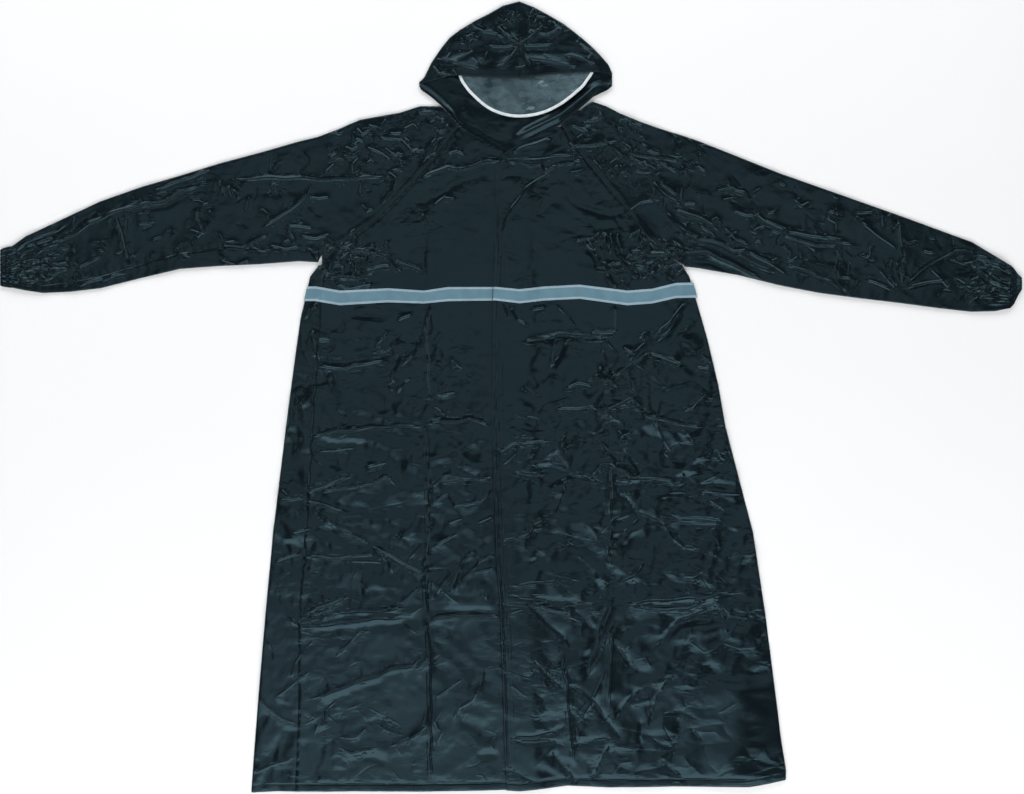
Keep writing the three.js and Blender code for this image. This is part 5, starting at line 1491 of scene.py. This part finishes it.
def hood_top(x, y):
    brim, crown = read(HOOD, "x", "brim", x), read(HOOD, "x", "crown", x)
    middle = smooth((x + 130) / 36) * smooth((172 - x) / 26)
    lift = 4.2 * middle * (1 - smooth((y - brim - 14) / 30))
    inland = smooth((crown - y) / 16)
    seam = -0.7 * np.exp(-(((x - HOOD_SEAM_X) / 2.0) ** 2)) + 0.45 * ((x > HOOD_SEAM_X) & (x < HOOD_SEAM_X + 8))
    facing = 0.35 * (1 - smooth((y - brim - 15) / 2.0))
    rumple = 0.5 * np.sin(x / 17 + y / 29) + 0.35 * np.sin(y / 13 - x / 31)
    folds = np.clip(creased(HOOD_FOLDS, x, y) + rumple, -1.4, 5.0)
    return read(HOOD, "x", "height", x) - 1.4 + lift + facing * middle + inland * folds + seam * inland


def hood_back(x, y):
    neck = read(NECK, "x", "y", x)
    from_neck = y - neck
    over_coat = 1.9 * (1 - smooth((y - 470) / 30))
    at_neck = (TOP_MID - FLOOR_MID) * (1 - smooth(from_neck / 20))
    crest_here = smooth((x + 5) / 35) * smooth((172 - x) / 60)
    crest = CREST_HEIGHT * crest_here * np.exp(-(((from_neck - CREST_IN) / 8) ** 2))
    folds = np.clip(creased(INSIDE_FOLDS, x, y), 0.0, 2.4) * smooth(from_neck / 12) * (1 - 0.7 * crest_here)
    return FLOOR_MID + np.maximum(over_coat, at_neck) + crest + folds * (y < 548)


def hood_grid(x):
    brim, crown = read(HOOD, "x", "brim", x), read(HOOD, "x", "crown", x)
    centre = crown - CLOTH / 2 - EDGE_DEEP
    start = np.minimum(brim, centre - 2.0)
    low = read(NECK, "x", "y", x) + 0.6
    facing = np.minimum(16.0, 0.5 * (centre - start))
    inside = spread_rows(start + 0.6 + facing, start + 0.6, BRIM_CELLS)
    turn = start[:, None] + np.array([0.2, 0.0, 0.2])
    top = spread_rows(start + 0.6, centre, CROWN_CELLS)
    fold = centre[:, None] + EDGE_DEEP * np.cos(FOLD_TURNS)
    back = spread_rows(centre, low, NAPE_CELLS)
    y = np.concatenate([inside, turn, top, fold, back], 1)
    x = np.broadcast_to(x[:, None], y.shape)
    share = np.concatenate([
        np.ones(BRIM_CELLS + 4 + CROWN_CELLS + 1), (1 + np.sin(FOLD_TURNS)) / 2, np.zeros(NAPE_CELLS + 1)])
    tuck = np.zeros(y.shape[1])
    tuck[: BRIM_CELLS + 1] = -TURN_UNDER
    tuck[BRIM_CELLS + 1 : BRIM_CELLS + 4] = np.array([-0.8, -0.5, -0.2]) * TURN_UNDER
    below = hood_back(x, y)
    z = below + (hood_top(x, y) - below) * share + tuck
    return np.stack([x, y, z], 2)


def add_hood_half(name, node, *reach):
    grid = hood_grid(stops(*reach))
    marks = line_marks(HOOD_FOLDS, grid, np.arange(grid.shape[1]) < BRIM_CELLS + 4 + CROWN_CELLS)
    return add_cloth(name, grid, HOOD_CLOTH, node, "cloth", marks, turned=True)


HOOD_LEFT = add_hood_half("hood_left_half", "hood_left", -156.0, (HOOD_SEAM_X - SEAM / 2, 3.0))
HOOD_RIGHT = add_hood_half("hood_right_half", "hood_right", HOOD_SEAM_X + SEAM / 2, (172.0, 3.0))

# %% [markdown]
# ## Clear visor
# A crescent of frosted clear film is sewn in below the brim, and a white binding is folded round its free
# edge. The film is a thin sheet with a slight buckle; the binding follows the same smooth edge.

# %% The visor's edge, its film and its binding
VISOR_MID = 6.0
VISOR_TUCK = 12.0
BINDING_WIDE = 4.6


def smooth_curve(points, count):
    """A rounded curve through the points, evenly stepped."""
    ends = np.concatenate([[2 * points[0] - points[1]], points, [2 * points[-1] - points[-2]]])
    t = np.linspace(0, 1, 12, endpoint=False)[:, None]
    fine = []
    for a, b, c, d in zip(ends[:-3], ends[1:-2], ends[2:-1], ends[3:]):
        fine.append(0.5 * (2 * b + (c - a) * t + (2 * a - 5 * b + 4 * c - d) * t**2 + (3 * b - a - 3 * c + d) * t**3))
    fine = np.concatenate(fine + [points[-1:]])
    run = np.concatenate([[0], np.cumsum(np.linalg.norm(np.diff(fine, axis=0), axis=1))])
    at = np.linspace(0, run[-1], count)
    return np.stack([np.interp(at, run, fine[:, k]) for k in range(2)], 1)


edge = smooth_curve(line_of(VISOR, "x"), 110)
ahead = np.gradient(edge, axis=0)
ahead /= np.linalg.norm(ahead, axis=1, keepdims=True)
inward = np.stack([-ahead[:, 1], ahead[:, 0]], 1)


def buckle(x, y):
    waves = 0.7 * np.sin(x / 19 + y / 31) + 0.4 * np.sin(x / 9 - y / 14) + 0.3 * np.sin(y / 7 + x / 23)
    return waves + 1.6 * (0.35 - np.abs(lattice(x / 24, y / 15, 31))) + 0.8 * (0.35 - np.abs(lattice(x / 11, y / 9, 32)))


film_edge = edge + inward * 0.9
sewn = read(HOOD, "x", "brim", film_edge[:, 0]) + VISOR_TUCK
film_y = spread_rows(sewn, film_edge[:, 1], 26)
film_x = np.broadcast_to(film_edge[:, :1], film_y.shape)
from_edge = (film_y - film_edge[:, 1:]) / 10.0
film_z = VISOR_MID + buckle(film_x, film_y) * smooth(from_edge) * smooth((sewn[:, None] - film_y) / 14.0)
VISOR_PIECE = add_cloth("visor_film", np.stack([film_x, film_y, film_z], 2), FILM, "visor", "visor", wall=0.5)

BINDING_SECTION = np.array([
    (BINDING_WIDE, 0.85), (3.2, 0.9), (2.0, 0.95), (0.8, 0.9), (0.2, 0.55),
    (0.0, 0.0), (0.2, -0.55), (0.8, -0.9), (2.0, -0.95), (3.2, -0.9), (BINDING_WIDE, -0.85)])
binding = np.zeros((len(edge), len(BINDING_SECTION), 3))
binding[:, :, :2] = edge[:, None, :] + inward[:, None, :] * BINDING_SECTION[None, :, :1]
binding[:, :, 2] = VISOR_MID + BINDING_SECTION[:, 1] + 0.12 * np.sin(np.arange(len(edge)) * 0.9)[:, None]
BINDING = add_cloth("visor_edge_binding", binding, WHITE_STRIP, "visor_binding", "binding", wall=0.5)

# %% [markdown]
# ## Stitching
# Every seam is held by a row of lockstitch with about three stitches to the centimetre. A stitch is a small
# lens of thread that lies along its row, and each group of rows is one mesh made from lists of points.

# %% Make rows of stitches
STITCH_PITCH = 3.4
STITCH_LONG = 2.4
STITCH_HALF_WIDE = 0.27
STITCH_HALF_TALL = 0.2
STITCH_FACES = np.array([
    (0, 2, 3), (0, 3, 4), (0, 4, 5), (0, 5, 2), (1, 3, 2), (1, 4, 3), (1, 5, 4), (1, 2, 5)])


def beside(path, by):
    """The broken line moved to its left by that much."""
    path = np.asarray(path, float)
    run = np.gradient(path, axis=0)
    run /= np.linalg.norm(run, axis=1, keepdims=True)
    return path + np.stack([-run[:, 1], run[:, 0]], 1) * by


def stitch_row(path, height_of):
    path = np.asarray(path, float)
    run = np.concatenate([[0], np.cumsum(np.linalg.norm(np.diff(path, axis=0), axis=1))])
    starts = np.arange(1.0, run[-1] - STITCH_LONG, STITCH_PITCH)
    ends = []
    for at in (starts, starts + STITCH_LONG):
        x, y = np.interp(at, run, path[:, 0]), np.interp(at, run, path[:, 1])
        ends.append(np.stack([x, y, height_of(x, y)], 1))
    first, last = ends
    middle, ahead = (first + last) / 2, last - first
    aside = np.stack([-ahead[:, 1], ahead[:, 0], np.zeros(len(ahead))], 1)
    aside *= STITCH_HALF_WIDE / np.linalg.norm(aside, axis=1, keepdims=True)
    up = np.array([0.0, 0.0, STITCH_HALF_TALL])
    corners = np.stack([first, last, middle + aside, middle + up, middle - aside, middle - up], 1)
    faces = STITCH_FACES[None] + 6 * np.arange(len(corners))[:, None, None]
    return corners.reshape(-1, 3), faces.reshape(-1, 3)


def sew(name, rows, finish=THREAD):
    points, faces, done = [], [], 0
    for path, height_of in rows:
        corners, sides = stitch_row(path, height_of)
        points.append(corners)
        faces.append(sides + done)
        done += len(corners)
    piece = add_mesh(name, np.concatenate(points), np.concatenate(faces), finish)
    print(name, "stitches:", done // 6)
    return piece

# %% Where the rows run
ON_CLOTH = CLOTH / 2 + 0.12


def on_coat(x, y):
    lap = np.where(x >= fly_edge(y, 1) - 0.01, fly_lift(x, y), 0.0)
    return upper(x, y) + lap + ON_CLOTH


def on_sleeve(side):
    return lambda x, y: upper(x, y) + gathers(side, x, y) + ON_CLOTH


def on_tape(x, y):
    return on_coat(x, y) + TAPE_OUT - 0.1


fly_y = np.linspace(-668, 398, 80)
fly_x = read(FLY, "y", "x", fly_y)
fly_rows = [(np.stack([fly_x + inset, fly_y], 1), on_coat) for inset in (5.0, 10.0)]
hem_x = [(-438.0, -369.0), (-365.0, -14.0), (-10.0, 464.0)]
hem_rows = []
for x0, x1 in hem_x:
    run = np.linspace(x0, x1, 40)
    hem_rows.append((np.stack([run, along_hem(run, -661.0)], 1), on_coat))
raglan_rows = []
for line, side in ((line_of(RAGLAN, "left")[1:], -1), (line_of(RAGLAN, "right")[1:], 1)):
    raglan_rows += [(beside(line, -side * by), on_coat) for by in (1.8, 8.2)]
    raglan_rows.append((beside(line, side * 2.0), on_coat))
side_line = line_of(BODY, "seam")
side_rows = [(beside(side_line, by), on_coat) for by in (1.8, 6.4)]
underarm = SEAM_LINES[3][0]
side_rows += [(beside(underarm, -by), on_sleeve(-1)) for by in (1.6, -1.8)]
tape_x = {"under": np.linspace(-338, -26, 60), "fly": np.linspace(-20, 312, 60)}
tape_rows = [
    (np.stack([x, tape_line(x, share)], 1), on_tape) for x in tape_x.values() for share in (0.07, 0.93)]
sew("stitching_fly", fly_rows)
sew("stitching_hem", hem_rows)
sew("stitching_raglan", raglan_rows)
sew("stitching_side", side_rows)
sew("stitching_tape", tape_rows)

# %% Stitching of the hood
def on_crown(x, y):
    return hood_top(x, y) + ON_CLOTH


def on_nape(x, y):
    return hood_back(x, y) + ON_CLOTH


brim_x = np.linspace(-112, 150, 60)
brim_rows = [(np.stack([brim_x, read(HOOD, "x", "brim", brim_x) + by], 1), on_crown) for by in (2.5, 15.0)]
seam_y = np.linspace(552, 664, 20)
seam_rows = [(np.stack([np.full(20, HOOD_SEAM_X + by), seam_y], 1), on_crown) for by in (-2.2, 6.6)]
facing_line = smooth_curve(np.array([(-112, 540), (-84, 506), (-36, 458), (6, 436)], float), 40)
inside_rows = [(facing_line, on_nape)]
sew("stitching_hood", brim_rows + seam_rows + inside_rows)

# %% [markdown]
# ## Floor
# The coat lies on a plain pale floor.

# %% Pale floor
def pale_floor():
    finish, nodes, links, shader = new_finish("pale_floor")
    shade_between(nodes, links, noise(nodes, links, 1.5), (0.955, 0.96, 0.965), (0.97, 0.975, 0.98), shader.inputs["Base Color"])
    shader.inputs["Roughness"].default_value = 0.9
    shader.inputs["Specular IOR Level"].default_value = 0.1
    return finish


floor_mesh = bpy.data.meshes.new("floor")
floor_mesh.from_pydata([(-4, -4, 0), (4, -4, 0), (4, 4, 0), (-4, 4, 0)], [], [(0, 1, 2, 3)])
floor_mesh.materials.append(pale_floor())
floor = bpy.data.objects.new("floor", floor_mesh)
bpy.context.collection.objects.link(floor)
